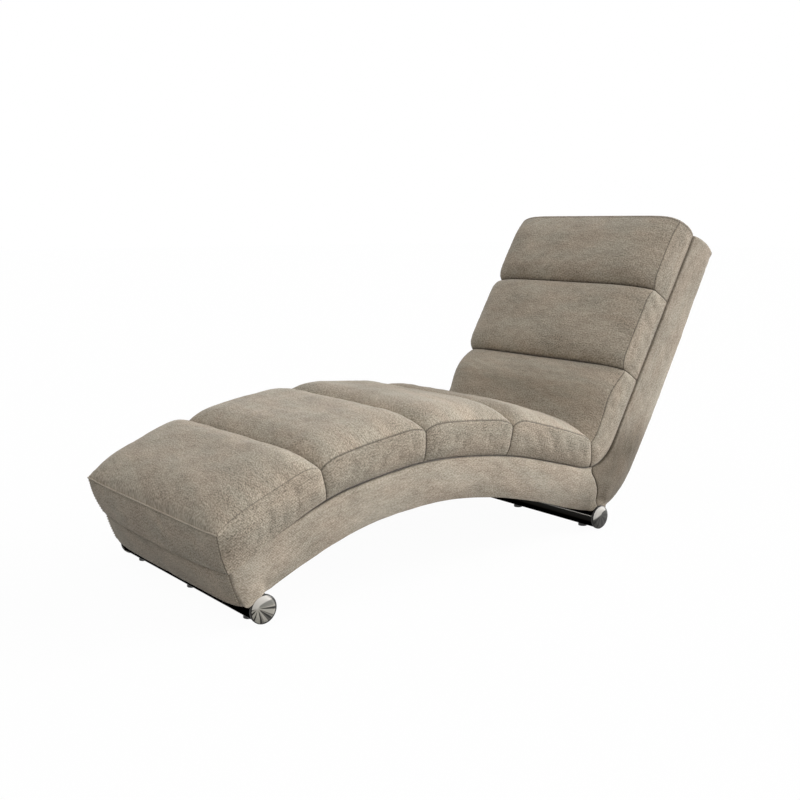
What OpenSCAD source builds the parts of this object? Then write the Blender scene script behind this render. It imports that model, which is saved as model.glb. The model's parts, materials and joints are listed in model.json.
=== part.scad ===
// Upholstered chaise lounger: an arched padded frame on two floor tubes, with seven channelled cushions.
// X is the width, Y runs from the foot end to the back, Z is up. The floor is at Z = 0.

/* [Overall] */
// Distance between the axes of the two floor tubes
tube_span = 1071; // [950:1:1250]
// Width over the frame's side covers
frame_w = 596; // [500:1:700]
// How far the cushion seams stand out past the frame on each side
cushion_proud = 8; // [1:0.5:12]
// Height of the line between frame and cushions at the crest of the arch
crest_h = 277.5; // [255:0.5:320]
// Height of that line at the foot end
foot_top_h = 135; // [125:0.5:150]
// Height at which that line would meet the back's front line
corner_h = 156; // [148:0.5:170]
// Depth of the frame's sides at the crest of the arch
belly_depth = 102; // [92:0.5:120]
// Height of the frame's bottom edge at the foot end
foot_base_h = 46.5; // [38:0.5:52]
// Height of the frame's bottom edge at the rear tube
rear_base_h = 54; // [46:1:58]
// How far the frame reaches past the front tube's axis, at the line between frame and cushions
foot_overhang = 76; // [70:0.5:90]
// How far it does so at its bottom edge
foot_toe = 43.8; // [42:0.1:50]

/* [Back] */
// Length of the back along its front line, from the seat corner to the top
back_len = 732; // [620:1:840]
// Lean of the back's front line, from upright
back_lean = 30.5; // [24:0.5:36]
// Lean of the back's rear face, from upright
rear_lean = 28.7; // [24:0.1:34]
// Depth of the back frame at its top
back_depth = 102; // [92:1:130]
// How far the rounding of the seat corner reaches along each line
corner_reach = 100; // [80:1:120]
// How far the rear bottom rounding reaches along the floor side
rear_round_floor = 93; // [70:1:100]
// How far the rear bottom rounding reaches up the rear face
rear_round_up = 155; // [110:1:180]
// Rounding of the bottom edge at the foot end
foot_round = 9; // [4:0.5:11]

/* [Cushions] */
// Height of the cushions at their side seams
box_h = 90; // [75:1:105]
// Height of the grooves between cushions at their ends
groove_h = 73; // [50:1:74]
// Height of the foot and head cushions at their outer corners
ear_h = 84; // [60:1:100]
// Length over which the side seam rises from those corners
ear_len = 80; // [40:1:110]
// Crown of a cushion over its side seams
crown_h = 38; // [10:1:44]
// Crown left in the middle of a groove
groove_crown_h = 20; // [0:1:26]
// Sag of the foot cushion's front top seam in its middle
foot_sag = 4; // [0:0.5:8]
// Rise of the head cushion's top seam in its middle
head_rise = 9; // [0:0.5:12]
// Length over which a cushion rolls into a groove
roll_len = 48; // [30:1:80]
// Length over which the crown builds up from a seam or groove
crown_len = 80; // [50:1:130]
// Bulge of the cushion sides
side_bulge = 6; // [0:0.5:8]
// How far the sides pull in at the grooves
groove_draw = 4; // [0:0.5:8]
// Bulge of the foot cushion's front face
foot_bulge = 10; // [0:0.5:16]
// Bulge of the head cushion's top face
head_bulge = 15; // [0:0.5:18]
// How far the head cushion's top corners are rounded in
head_round = 16; // [0:1:28]
// Clearance round every soft piece
soft_gap = 0.5; // [0.3:0.05:0.8]

/* [Frame] */
// Thickness of the padded side covers
cover_t = 10; // [6:0.5:14]
// Thickness of the foot end, top, rear and underside covers
panel_t = 8; // [5:0.5:10]
// Thickness of the side boards
board_t = 18; // [15:0.5:25]
// Thickness of the foam pads under the cushions
pad_t = 22; // [15:0.5:28]
// Gap between webbing and foam pad that the curve needs
web_gap = 0.8; // [0.6:0.05:1.2]
// Thickness of the elastic webbing
web_t = 2; // [1.5:0.1:3]
// Width of one webbing strap
web_w = 50; // [40:1:60]
// Thickness of the cross rails
rail_t = 22; // [18:1:28]
// Thickness of the thin rail behind the foot end cover
foot_rail_t = 10; // [8:0.5:11]
// Height of that rail
foot_rail_h = 42; // [34:1:44]
// Height of the cross rails in the base
rail_h = 42; // [34:1:50]
// Height of the cross rails in the back
back_rail_h = 56; // [40:1:60]
// Clearance between fixed wooden pieces
wood_gap = 0.2; // [0.1:0.05:0.4]

/* [Feet] */
// Outer diameter of a floor tube
tube_d = 60; // [50:1:62]
// Wall of a floor tube
tube_wall = 2; // [1.5:0.1:3]
// How far a floor tube with its caps stands out of the frame on each side
tube_proud = 15; // [2:0.5:18]
// Diameter of an end cap
cap_d = 64; // [53:1:66]
// Thickness of an end cap at its rim
cap_rim_t = 6; // [4:0.5:8]
// Height of the end cap's dome over its rim
cap_dome_h = 4; // [2:0.5:6]
// Depth of the cap's spigot in the tube
spigot_len = 18; // [12:1:25]
// Height of a glide below the tube
glide_h = 5; // [3:0.5:7]
// Diameter of a glide
glide_d = 24; // [18:1:30]
// Distance of the outer glides from the ends of a tube with its caps
glide_inset = 66; // [54:1:110]
// Thickness of the rail that each tube is bolted to
leg_rail_t = 24; // [20:1:28]
// Width of that rail along the lounger
leg_rail_w = 66; // [62:1:67]
// Height of the cradle block over the tube
cradle_rise = 12; // [8:0.5:16]
// Length of a cradle block across the lounger
cradle_len = 60; // [40:1:80]
// Distance from the middle of a tube to its cradle blocks
cradle_offset = 150; // [100:1:180]

/* [Fasteners] */
// Diameter of the leg bolts and corner bolts
bolt_d = 8; // [6:1:10]
// Clearance round a bolt or screw in its hole
bolt_gap = 0.3; // [0.2:0.05:0.5]
// Width over the corners of a bolt head or nut
bolt_head_d = 14; // [12:0.5:16]
// Height of a bolt head or nut
bolt_head_h = 5; // [4:0.5:7]
// Thickness of the steel corner plates
plate_t = 4; // [3:0.5:6]
// Length of a corner plate
plate_len = 150; // [120:1:170]
// Height of a corner plate
plate_h = 36; // [26:1:40]
// Diameter of a frame screw
screw_d = 5; // [4:0.5:6]
// Length of a frame screw
screw_len = 60; // [45:1:75]
// Diameter of a screw head
screw_head_d = 10; // [8:0.5:12]
// Distance of the screws from the edges of a rail
screw_edge = 10; // [8:0.5:12]

/* [Hidden] */

// Colours
fabric_tone = [0.60, 0.55, 0.49];
cover_tone = [0.56, 0.51, 0.45];
wood_tone = [0.80, 0.66, 0.46];
foam_tone = [0.93, 0.89, 0.74];
web_tone = [0.20, 0.20, 0.21];
chrome_tone = [0.82, 0.83, 0.85];
steel_tone = [0.60, 0.61, 0.63];
glide_tone = [0.08, 0.08, 0.08];

// Round features, and the reach of a cut past the face that it opens
$fn = 64;
overrun = 1;

// Line between frame and cushions over the base: shares of tube_span from the front tube's axis,
// and shares of the rise from the foot end's height to the crest
deck_rise_shares = [[0.045, 0.375], [0.190, 0.7605], [0.347, 0.955], [0.4575, 1]];
// The same behind the crest, with shares of the height over the seat corner
deck_fall_shares = [[0.582, 0.918], [0.7105, 0.7375], [0.851, 0.411]];
// Where that line would meet the back's front line, as a share of tube_span
corner_share = 1.013;
// Underside of the arch up to its crest, and behind it: shares of tube_span, and of the height over
// the frame's bottom edge at the foot end and at the rear tube
arch_rise_shares = [[-0.030, 0], [0.028, 0.2055], [0.0915, 0.43], [0.1905, 0.717], [0.294, 0.9145], [0.42, 1]];
arch_fall_shares = [[0.523, 0.9755], [0.649, 0.8065], [0.785, 0.5015], [0.8945, 0.1895], [0.9627, 0.032]];
// Height of each cushion's side seams, from foot to head, as shares of box_h
box_shares = [1.08, 0.98, 1, 1.04, 1.16, 1.06, 1.05];
// How far each cushion's sides stand out, from foot to head, as shares of cushion_proud and side_bulge
proud_shares = [1.5, 1.1, 1, 1, 0.8, 0.5, 0.3];
// Where the grooves meet the frame, as shares of the whole line from foot to head
groove_shares = [0, 0.141, 0.288, 0.431, 0.604, 0.76, 0.888, 1];
last_cushion = len(groove_shares) - 2;
// Which of them is at the seat corner, and how far before it the side seam starts
corner_groove = last_cushion - 2;
seam_before_share = 0.010;
// How far the groove in the seat corner leans back from the line that halves the corner, in degrees
groove_lean = 13;
// Places of the rings along a cushion, as shares of its length
ring_shares = [0, 0.008, 0.03, 0.07, 0.13, 0.22, 0.35, 0.5, 0.65, 0.78, 0.87, 0.93, 0.97, 0.992, 1];
// Places of the points up a cushion's side, as shares of its height
side_shares = [0.2, 0.5, 0.8];
// Places of the points across a cushion's top, as shares of its half width
top_shares = [1, 0.95, 0.86, 0.7, 0.45, 0.15, -0.15, -0.45, -0.7, -0.86, -0.95, -1];
// Webbing straps, as shares of the whole line
base_web_shares = [0.06, 0.115, 0.185, 0.24, 0.295, 0.35, 0.405, 0.46, 0.515];
back_web_shares = [0.70, 0.75, 0.80, 0.85, 0.90, 0.95];

// Rearward bow of the seam on the sides between base and back
seam_bow = 6;
// Height of the foot rail's lower edge over the frame's bottom edge
foot_rail_lift = 16;
// Distance of the joint in the side boards before the rear tube's axis
joint_before = 52;
// How far the lower back rail is past the seat corner's rounding, and the top one below the top
low_rail_rise = 14;
top_rail_drop = 48;
// Height of the corner plates over the rear leg rail, and how far their middle is behind the joint
plate_lift = 6;
plate_shift = 10;
// Sizes of the rings that close a cushion's end, as shares of its last ring
inner_shares = [0.7, 0.92];
// Flatness of the crown across the width
crown_power = 6;
// Bulge along the edges of an end, as a share of the bulge in its middle
edge_bulge_share = 0.6;

// Steps in the curves
spline_steps = 8;
round_steps = 10;
arch_steps = 4;
foot_steps = 3;
// Steps of the underside left open before and behind each tube and its rail, and of the rear rounding
// left open under the rear cover
clear_steps = 5;
rear_open_steps = 3;
// Sine of the angle below which two edges of the outline count as one
nearly_straight = 0.02;

// Curves

function unit(v) = v / norm(v);
function right_of(v) = [v[1], -v[0]];

// Point on a smooth curve between p1 and p2, with its neighbours p0 and p3
function between(p0, p1, p2, p3, t) =
    (2 * p1 + (p2 - p0) * t + (2 * p0 - 5 * p1 + 4 * p2 - p3) * t * t
        + (3 * p1 - p0 - 3 * p2 + p3) * t * t * t) / 2;

function smooth(keys, steps) = concat(
    [for (i = [0 : len(keys) - 2], j = [0 : steps - 1])
        between(keys[max(i - 1, 0)], keys[i], keys[i + 1], keys[min(i + 2, len(keys) - 1)], j / steps)],
    [keys[len(keys) - 1]]);

// Curve from a to b that leaves and arrives along the lines to c
function bend(a, c, b, steps) =
    [for (i = [0 : steps]) let (t = i / steps) (1 - t) * (1 - t) * a + 2 * t * (1 - t) * c + t * t * b];

function lengths_along(path) =
    [for (i = 0, sum = 0; i < len(path);
        sum = sum + (i + 1 < len(path) ? norm(path[i + 1] - path[i]) : 0), i = i + 1) sum];

// Points from shares of a length, and shares of the way from one height to another
function raised(shares, length, low, high) = [for (s = shares) [s[0] * length, low + s[1] * (high - low)]];

// Frame outline, seen from the side, from the front tube's axis

axle_h = glide_h + tube_d / 2;
tube_len = frame_w + 2 * tube_proud;
glide_offset = tube_len / 2 - glide_inset;
deck_corner = [corner_share * tube_span, corner_h];
deck_keys = concat(
    [[-foot_overhang, foot_top_h]],
    raised(deck_rise_shares, tube_span, foot_top_h, crest_h),
    raised(deck_fall_shares, tube_span, corner_h, crest_h));
back_dir = [sin(back_lean), cos(back_lean)];
seat_dir = unit(deck_corner - deck_keys[len(deck_keys) - 1]);
deck_top = deck_corner + back_len * back_dir;
deck_path = concat(
    smooth(concat(deck_keys, [deck_corner - corner_reach * seat_dir]), spline_steps),
    [for (i = [1 : round_steps]) bend(deck_corner - corner_reach * seat_dir, deck_corner,
        deck_corner + corner_reach * back_dir, round_steps)[i]],
    [deck_top]);
deck_sums = lengths_along(deck_path);
deck_len = deck_sums[len(deck_sums) - 1];
deck_y_table = [for (i = [0 : len(deck_path) - 1]) [deck_sums[i], deck_path[i][0]]];
deck_z_table = [for (i = [0 : len(deck_path) - 1]) [deck_sums[i], deck_path[i][1]]];

// Point, direction and outward normal of the deck line at a share of its length
function deck(share) = [lookup(share * deck_len, deck_y_table), lookup(share * deck_len, deck_z_table)];
near_share = 0.006;
function deck_dir(share) = unit(deck(min(share + near_share, 1)) - deck(max(share - near_share, 0)));
function deck_out(share) = -right_of(deck_dir(share));

rear_top = deck_top + back_depth * [cos(rear_lean), -sin(rear_lean)];
rear_dir = [sin(rear_lean), cos(rear_lean)];
rear_foot = rear_top - rear_dir * (rear_top[1] - rear_base_h) / cos(rear_lean);
rear_line = concat(
    [rear_top],
    bend(rear_foot + rear_round_up * rear_dir, rear_foot, rear_foot - [rear_round_floor, 0], round_steps));
arch_h = crest_h - belly_depth;
arch_line = smooth(concat(
    raised(arch_rise_shares, tube_span, foot_base_h, arch_h),
    raised(arch_fall_shares, tube_span, rear_base_h, arch_h),
    [rear_foot - [rear_round_floor, 0]]), arch_steps);
end_rake = atan((foot_overhang - foot_toe) / (foot_top_h - foot_base_h));
foot_bottom = [-foot_toe, foot_base_h];
foot_dir = [-sin(end_rake), cos(end_rake)];
foot_line = bend(foot_bottom + [foot_round, 0], foot_bottom, foot_bottom + foot_round * foot_dir, foot_steps);

// The outline runs from the foot end over the deck line, down the rear and back under the arch
outline = concat(
    deck_path,
    rear_line,
    [for (i = [len(arch_line) - 2 : -1 : 1]) arch_line[i]],
    foot_line);
rear_first = len(deck_path);
rear_last = rear_first + len(rear_line) - 1;
arch_last = rear_last + len(arch_line) - 2;

// The outline drawn in: by top under the deck line, and by side all along the rest
function edge_out(i) = right_of(unit(outline[(i + 1) % len(outline)] - outline[i]));
function drawn_in(top, side) = [
    for (i = [0 : len(outline) - 1])
        let (
            before = (i + len(outline) - 1) % len(outline),
            a = edge_out(before),
            b = edge_out(i),
            da = before < rear_first - 1 ? top : side,
            db = i < rear_first - 1 ? top : side,
            cross_ab = a[0] * b[1] - a[1] * b[0]
        )
        abs(cross_ab) < nearly_straight
            ? outline[i] + (a + b) * (da + db) / 2 / (1 + a * b)
            : outline[i] + [da * b[1] - db * a[1], db * a[0] - da * b[0]] / cross_ab
];

board_outline = drawn_in(pad_t + web_t + web_gap, panel_t);
pad_top = drawn_in(0, panel_t + soft_gap);
pad_bottom = drawn_in(pad_t, panel_t + soft_gap);
panel_inner = drawn_in(0, panel_t);

// The part's origin is in the middle of its length: from the foremost point of the foot cushion to the
// top of the rear cover
foot_front_y = min([for (p = cushion_points(0)) p[1]]);
middle_y = (foot_front_y + rear_top[0]) / 2;

half_in = frame_w / 2 - cover_t;
board_in = half_in - board_t;

module placed() {
    translate([0, -middle_y, 0]) children();
}

// A side view drawn in Y and Z, made solid from x0 to x1
module upright(x0, x1) {
    translate([x0, 0, 0])
        rotate([90, 0, 90])
            linear_extrude(x1 - x0) children();
}

// The same piece on the left, which is at -X, or on the right
module on_side(left) {
    if (left) mirror([1, 0, 0]) children();
    else children();
}

// A round bar along X
module bar_x(x0, x1, y, z, d) {
    translate([x0, y, z]) rotate([0, 90, 0]) cylinder(h = x1 - x0, d = d);
}

// The space that the tubes take out of boards and covers
module tube_recess(x0, x1, d) {
    for (y = [0, tube_span]) bar_x(x0, x1, y, axle_h, d + 2 * wood_gap);
}

// Seam between the base and the back on the sides
seam_top = deck(groove_shares[corner_groove] - seam_before_share);
seam_end = [tube_span, axle_h];
seam_curve = bend(seam_top, [tube_span + seam_bow, (seam_top[1] + axle_h) / 2], seam_end, round_steps);

module base_zone() {
    polygon(concat(
        [[-tube_span, -crest_h], [-tube_span, 2 * crest_h], [seam_top[0], 2 * crest_h]],
        seam_curve,
        [[seam_end[0], -crest_h]]));
}

// Side boards

board_joint_y = tube_span - joint_before;

module board(base, left) {
    color(wood_tone) placed() on_side(left) difference() {
        upright(board_in, half_in - wood_gap) difference() {
            polygon(board_outline);
            board_cutaway(base);
        }
        tube_recess(board_in - overrun, half_in + overrun, tube_d);
        corner_bolt_holes();
        screw_holes();
    }
}

// What lies past the joint of the boards
module board_cutaway(base) {
    shift = base ? wood_gap / 2 : -wood_gap / 2;
    translate([board_joint_y - shift, -crest_h])
        mirror([base ? 0 : 1, 0])
            square([2 * tube_span, crest_h + 2 * back_len]);
}

// Cross rails: middle of the section, lean from upright, thickness and height

function inside(share, depth) = deck(share) - depth * deck_out(share);
function lean_at(share) = atan2(deck_out(share)[0], deck_out(share)[1]);

under_pad = pad_t + web_t + web_gap;
crest_depth = under_pad + rail_h / 2 + 2 * wood_gap;
back_rail_depth = under_pad + rail_t / 2 + 6 * wood_gap;
leg_rail_z = axle_h + tube_d / 2 + cradle_rise + leg_rail_t / 2;
foot_rail_mid = foot_bottom + [panel_t + foot_rail_t / 2 + wood_gap, 0] / cos(end_rake)
    + (foot_rail_h / 2 + foot_rail_lift) * foot_dir;

rail_shares = [0.2, 0.32, 0.47];
low_rail_up = corner_reach + low_rail_rise;
top_rail_up = back_len - top_rail_drop;

// Middle of a rail in the back, at a distance up its front line from the seat corner
function on_back(up) = deck_corner + up * back_dir + back_rail_depth * right_of(back_dir);

RAILS = [
    ["foot_rail", foot_rail_mid, -end_rake, foot_rail_t, foot_rail_h],
    ["front_leg_rail", [0, leg_rail_z], 0, leg_rail_w, leg_rail_t],
    ["calf_rail", inside(rail_shares[0], crest_depth), lean_at(rail_shares[0]), rail_t, rail_h],
    ["crest_rail", inside(rail_shares[1], crest_depth), lean_at(rail_shares[1]), rail_t, rail_h],
    ["seat_rail", inside(rail_shares[2], crest_depth), lean_at(rail_shares[2]), rail_t, rail_h],
    ["rear_leg_rail", [tube_span, leg_rail_z], 0, leg_rail_w, leg_rail_t],
    ["lower_back_rail", on_back(low_rail_up), back_lean, rail_t, back_rail_h],
    ["middle_back_rail", on_back((low_rail_up + top_rail_up) / 2), back_lean, rail_t, back_rail_h],
    ["top_back_rail", on_back(top_rail_up), back_lean, rail_t, back_rail_h]
];

module rail(i) {
    r = RAILS[i];
    color(wood_tone) placed() difference() {
        translate([0, r[1][0], r[1][1]])
            rotate([-r[2], 0, 0])
                cube([2 * (board_in - wood_gap), r[3], r[4]], center = true);
        screw_holes();
        on_side(true) screw_holes();
        leg_bolt_holes();
    }
}

// Frame screws: two through the board into each end of a rail

function screw_places(r) =
    let (flat = r[3] > r[4], reach = (flat ? r[3] : r[4]) / 2 - screw_edge,
        along = flat ? [cos(r[2]), -sin(r[2])] : [sin(r[2]), cos(r[2])])
    [r[1] - reach * along, r[1] + reach * along];

module each_screw_place() {
    for (r = RAILS, p = screw_places(r)) translate([0, p[0], p[1]]) rotate([0, 90, 0]) children();
}

screw_head_h = (screw_head_d - screw_d) / 2;

// A screw's body along Z, with its head's top at z = 0
module screw_body(grow) {
    translate([0, 0, -screw_len - grow]) cylinder(h = screw_len + grow, d = screw_d + 2 * grow);
    translate([0, 0, -screw_head_h]) cylinder(h = screw_head_h, d1 = screw_d + 2 * grow, d2 = screw_head_d + 2 * grow);
}

module screw_holes() {
    each_screw_place() translate([0, 0, half_in - wood_gap]) {
        screw_body(bolt_gap);
        cylinder(h = overrun, d = screw_head_d + 2 * bolt_gap);
    }
}

module frame_screws() {
    color(steel_tone) placed()
        for (left = [false, true]) on_side(left)
            each_screw_place() translate([0, 0, half_in - wood_gap]) screw_body(0);
}

// Webbing: flat straps across the boards, each on the tangent of the boards' top edge

module strap(share) {
    out = deck_out(share);
    place = inside(share, pad_t + web_gap + web_t / 2 - wood_gap / 2);
    translate([0, place[0], place[1]])
        rotate([-atan2(out[0], out[1]), 0, 0])
            cube([2 * half_in - 2 * wood_gap, web_w, web_t], center = true);
}

module base_webbing() {
    color(web_tone) placed() for (s = base_web_shares) strap(s);
}

module back_webbing() {
    color(web_tone) placed() for (s = back_web_shares) strap(s);
}

// Foam pads between webbing and cushions

module pad(from_i, to_i) {
    color(foam_tone) placed() upright(-half_in + soft_gap, half_in - soft_gap)
        polygon(concat(
            [for (i = [from_i : to_i]) pad_top[i]],
            [for (i = [to_i : -1 : from_i]) pad_bottom[i]]));
}

// Where the two pads meet, at the start of the seat corner's rounding
corner_i = rear_first - 2 - round_steps;

// Covers

module side_cover(base, left) {
    color(cover_tone) placed() on_side(left) difference() {
        upright(half_in, frame_w / 2) {
            if (base) intersection() {
                polygon(outline);
                base_zone();
            }
            else difference() {
                polygon(outline);
                base_zone();
            }
        }
        tube_recess(half_in - overrun, frame_w / 2 + overrun, max(tube_d, cap_d));
    }
}

// A panel between the side covers, along the outline from point a to point b
module panel(a, b) {
    color(cover_tone) placed() upright(-half_in + wood_gap, half_in - wood_gap)
        polygon(concat(
            [for (i = [a : b]) outline[i % len(outline)]],
            [for (i = [b : -1 : a]) panel_inner[i % len(outline)]]));
}

module underside_cover() {
    panel(rear_last + clear_steps, arch_last - clear_steps);
}

module rear_cover() {
    panel(rear_first, rear_last - rear_open_steps);
}

module top_cover() {
    panel(rear_first - 1, rear_first);
}

module foot_end_cover() {
    panel(arch_last + 1, len(outline));
}

// Cushions: rings across the width, lofted along the deck line from groove to groove

// Half circle rise, from 0 at a seam to 1 at distance reach
function rise(distance, reach) = sqrt(1 - pow(1 - min(distance / reach, 1), 2));

// A direction in the side view, turned towards the back
function turned_back(v, angle) = v * cos(angle) + right_of(v) * sin(angle);

// Direction in which a cushion stands at groove i: the foot end is raked, and the seat corner leans back
function stand(i) =
    i == 0 ? foot_dir
    : i == corner_groove ? turned_back(-unit(right_of(seat_dir) + right_of(back_dir)), groove_lean)
    : deck_out(groove_shares[i]);

// Height over the deck line at the seams, for cushion i at share t of its length
function cushion_len(i) = (groove_shares[i + 1] - groove_shares[i]) * deck_len;
function full_h(i) = box_h * box_shares[i];
function is_end(i) = i == 0 || i == last_cushion + 1;
function end_h(i) = is_end(i) ? ear_h : groove_h;
function end_len(i) = is_end(i) ? ear_len : roll_len;
function roll(i, t) =
    rise(t * cushion_len(i), end_len(i)) * rise((1 - t) * cushion_len(i), end_len(i + 1));
function seam_h(i, t) =
    let (low = end_h(t < 0.5 ? i : i + 1))
    low + (full_h(i) - low) * roll(i, t);
function groove_crown(i) = i == 0 ? -foot_sag : i == last_cushion + 1 ? head_rise : groove_crown_h;
function crown(i, t) =
    let (
        up = rise(t * cushion_len(i), crown_len),
        down = rise((1 - t) * cushion_len(i), crown_len),
        low = t < 0.5 ? groove_crown(i) : groove_crown(i + 1)
    )
    low + (crown_h - low) * up * down;
function half_seam(i, t) =
    let (
        draw = groove_draw * (1 - roll(i, t)),
        corner = i == last_cushion ? head_round * (1 - rise((1 - t) * cushion_len(i), 2 * head_round)) : 0
    )
    frame_w / 2 + cushion_proud * proud_shares[i] - draw - corner;

// One ring of cushion i: points across the width and up from the deck line
function ring(i, t) =
    let (
        h = seam_h(i, t),
        w = half_seam(i, t),
        c = crown(i, t),
        side = [for (s = side_shares)
            [frame_w / 2 + (w - frame_w / 2) * s + side_bulge * proud_shares[i] * 4 * s * (1 - s), h * s]]
    )
    concat(
        [[frame_w / 2, soft_gap]],
        side,
        [for (u = top_shares) [u * w, h + c * (1 - pow(abs(u), crown_power))]],
        [for (k = [len(side) - 1 : -1 : 0]) [-side[k][0], side[k][1]]],
        [[-frame_w / 2, soft_gap]]);
ring_n = len(top_shares) + 2 * len(side_shares) + 2;

// Bulge of cushion i at its end t, along the deck line
function end_bulge(i, t) = i == 0 && t == 0 ? -foot_bulge : i == last_cushion && t == 1 ? head_bulge : 0;

// A ring's point in space; its bulge fades towards the seams above and below
function in_space(i, t, p, grow) =
    let (
        share = groove_shares[i] + (groove_shares[i + 1] - groove_shares[i]) * t,
        out = unit((1 - t) * stand(i) + t * stand(i + 1)),
        gap = t == 0 ? soft_gap / 2 : t == 1 ? -soft_gap / 2 : 0,
        level = min(max(p[1] / seam_h(i, t), 0), 1),
        bulge = end_bulge(i, t) * 4 * level * (1 - level) * grow,
        q = deck(share) + p[1] * out + (gap + bulge) * right_of(out)
    )
    [p[0], q[0], q[1]];

// An end is closed over smaller rings and a middle point, which bulge more than its edge
function end_ring(i, t, s) =
    let (h = seam_h(i, t) / 2)
    [for (p = ring(i, t)) in_space(i, t, [p[0] * s, h + (p[1] - h) * s], 1 - (1 - edge_bulge_share) * s)];

function cushion_rings(i) = concat(
    [for (s = inner_shares) end_ring(i, 0, s)],
    [for (t = ring_shares) [for (p = ring(i, t)) in_space(i, t, p, edge_bulge_share)]],
    [for (k = [len(inner_shares) - 1 : -1 : 0]) end_ring(i, 1, inner_shares[k])]);

function cushion_points(i) = concat(
    [for (r = cushion_rings(i), p = r) p],
    [in_space(i, 0, [0, seam_h(i, 0) / 2], 1)],
    [in_space(i, 1, [0, seam_h(i, 1) / 2], 1)]);

module cushion(i) {
    rings = len(ring_shares) + 2 * len(inner_shares);
    first_middle = rings * ring_n;
    color(fabric_tone) placed() polyhedron(
        points = cushion_points(i),
        faces = concat(
            [for (j = [0 : ring_n - 1]) [first_middle, (j + 1) % ring_n, j]],
            [for (r = [0 : rings - 2], j = [0 : ring_n - 1])
                let (a = r * ring_n + j, b = r * ring_n + (j + 1) % ring_n) each [
                    [a, b, a + ring_n],
                    [b, b + ring_n, a + ring_n]]],
            [for (j = [0 : ring_n - 1])
                let (edge = (rings - 1) * ring_n)
                [first_middle + 1, edge + j, edge + (j + 1) % ring_n]]));
}

// Floor tubes, caps and glides

tube_half = tube_len / 2 - cap_rim_t - cap_dome_h;

module tube(y) {
    color(chrome_tone) placed() difference() {
        bar_x(-tube_half, tube_half, y, axle_h, tube_d);
        bar_x(-tube_half - overrun, tube_half + overrun, y, axle_h, tube_d - 2 * tube_wall);
        leg_bolt_holes();
        glide_places(y) cylinder(h = axle_h, d = stem_d + 2 * bolt_gap);
    }
}

cap_edge_r = 2;
dome_shares = [0, 0.25, 0.5, 0.75, 1];

module cap(y, left) {
    rim_r = cap_d / 2;
    color(chrome_tone) placed() on_side(left) translate([tube_half, y, axle_h]) rotate([0, 90, 0]) {
        rotate_extrude() polygon(concat(
            [[0, 0], [rim_r, 0], [rim_r, cap_rim_t - cap_edge_r]],
            [for (s = dome_shares) [(rim_r - cap_edge_r) * (1 - s), cap_rim_t + cap_dome_h * sqrt(1 - pow(1 - s, 2))]]));
        translate([0, 0, -spigot_len]) cylinder(h = spigot_len, d = tube_d - 2 * tube_wall - 2 * bolt_gap);
    }
}

stem_d = 8;
stem_h = 14;

module glide_places(y) {
    for (x = [-glide_offset, 0, glide_offset]) translate([x, y, 0]) children();
}

module glides(y) {
    color(glide_tone) placed() {
        difference() {
            glide_places(y) cylinder(h = 2 * glide_h, d = glide_d);
            bar_x(-tube_half, tube_half, y, axle_h, tube_d);
        }
        glide_places(y) translate([0, 0, glide_h - wood_gap]) cylinder(h = stem_h, d = stem_d);
    }
}

// Cradle blocks, leg bolts and nuts

module cradles(y) {
    color(wood_tone) placed() difference() {
        for (x = [-cradle_offset, cradle_offset])
            translate([x - cradle_len / 2, y - tube_d / 2, axle_h + tube_d / 4])
                cube([cradle_len, tube_d, tube_d / 4 + cradle_rise]);
        bar_x(-tube_half, tube_half, y, axle_h, tube_d + 2 * wood_gap);
        leg_bolt_holes();
    }
}

bolt_top_z = leg_rail_z + leg_rail_t / 2;
bolt_end_z = axle_h + tube_d / 2 - tube_wall - 2 * bolt_head_h;

module leg_bolt_places() {
    for (x = [-cradle_offset, cradle_offset], y = [0, tube_span]) translate([x, y, 0]) children();
}

module leg_bolt_holes() {
    leg_bolt_places() translate([0, 0, bolt_end_z])
        cylinder(h = bolt_top_z + overrun - bolt_end_z, d = bolt_d + 2 * bolt_gap);
}

module leg_bolts() {
    color(steel_tone) placed() leg_bolt_places() {
        translate([0, 0, bolt_end_z]) cylinder(h = bolt_top_z - bolt_end_z, d = bolt_d);
        translate([0, 0, bolt_top_z]) cylinder(h = bolt_head_h, d = bolt_head_d, $fn = 6);
    }
}

module leg_nuts() {
    nut_z = axle_h + tube_inner_rise - bolt_head_h;
    color(steel_tone) placed() leg_bolt_places() difference() {
        translate([0, 0, nut_z]) cylinder(h = bolt_head_h, d = bolt_head_d, $fn = 6);
        translate([0, 0, nut_z - overrun]) cylinder(h = bolt_head_h + 2 * overrun, d = bolt_d + wood_gap);
    }
}

// Height inside the tube at which a nut's corners meet the bore
tube_inner_rise = sqrt(pow(tube_d / 2 - tube_wall, 2) - pow(bolt_head_d / 2, 2));

// Corner plates and bolts

plate_mid = [board_joint_y + plate_shift, leg_rail_z + leg_rail_t / 2 + plate_lift + plate_h / 2];
plate_bolt_shares = [-0.38, -0.14, 0.14, 0.38];

module corner_bolt_places() {
    for (s = plate_bolt_shares) translate([0, plate_mid[0] + s * plate_len, plate_mid[1]]) rotate([0, 90, 0]) children();
}

module corner_bolt_holes() {
    corner_bolt_places() translate([0, 0, board_in - plate_t - overrun])
        cylinder(h = plate_t + board_t + 2 * overrun, d = bolt_d + 2 * bolt_gap);
}

module corner_plates() {
    color(steel_tone) placed() for (left = [false, true]) on_side(left) difference() {
        translate([board_in - wood_gap - plate_t, plate_mid[0] - plate_len / 2, plate_mid[1] - plate_h / 2])
            cube([plate_t, plate_len, plate_h]);
        corner_bolt_holes();
    }
}

module corner_bolts() {
    color(steel_tone) placed() for (left = [false, true]) on_side(left) corner_bolt_places() {
        translate([0, 0, board_in - wood_gap - plate_t]) cylinder(h = plate_t + board_t, d = bolt_d);
        translate([0, 0, board_in - wood_gap - plate_t - bolt_head_h])
            cylinder(h = bolt_head_h, d = bolt_head_d, $fn = 6);
    }
}

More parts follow.
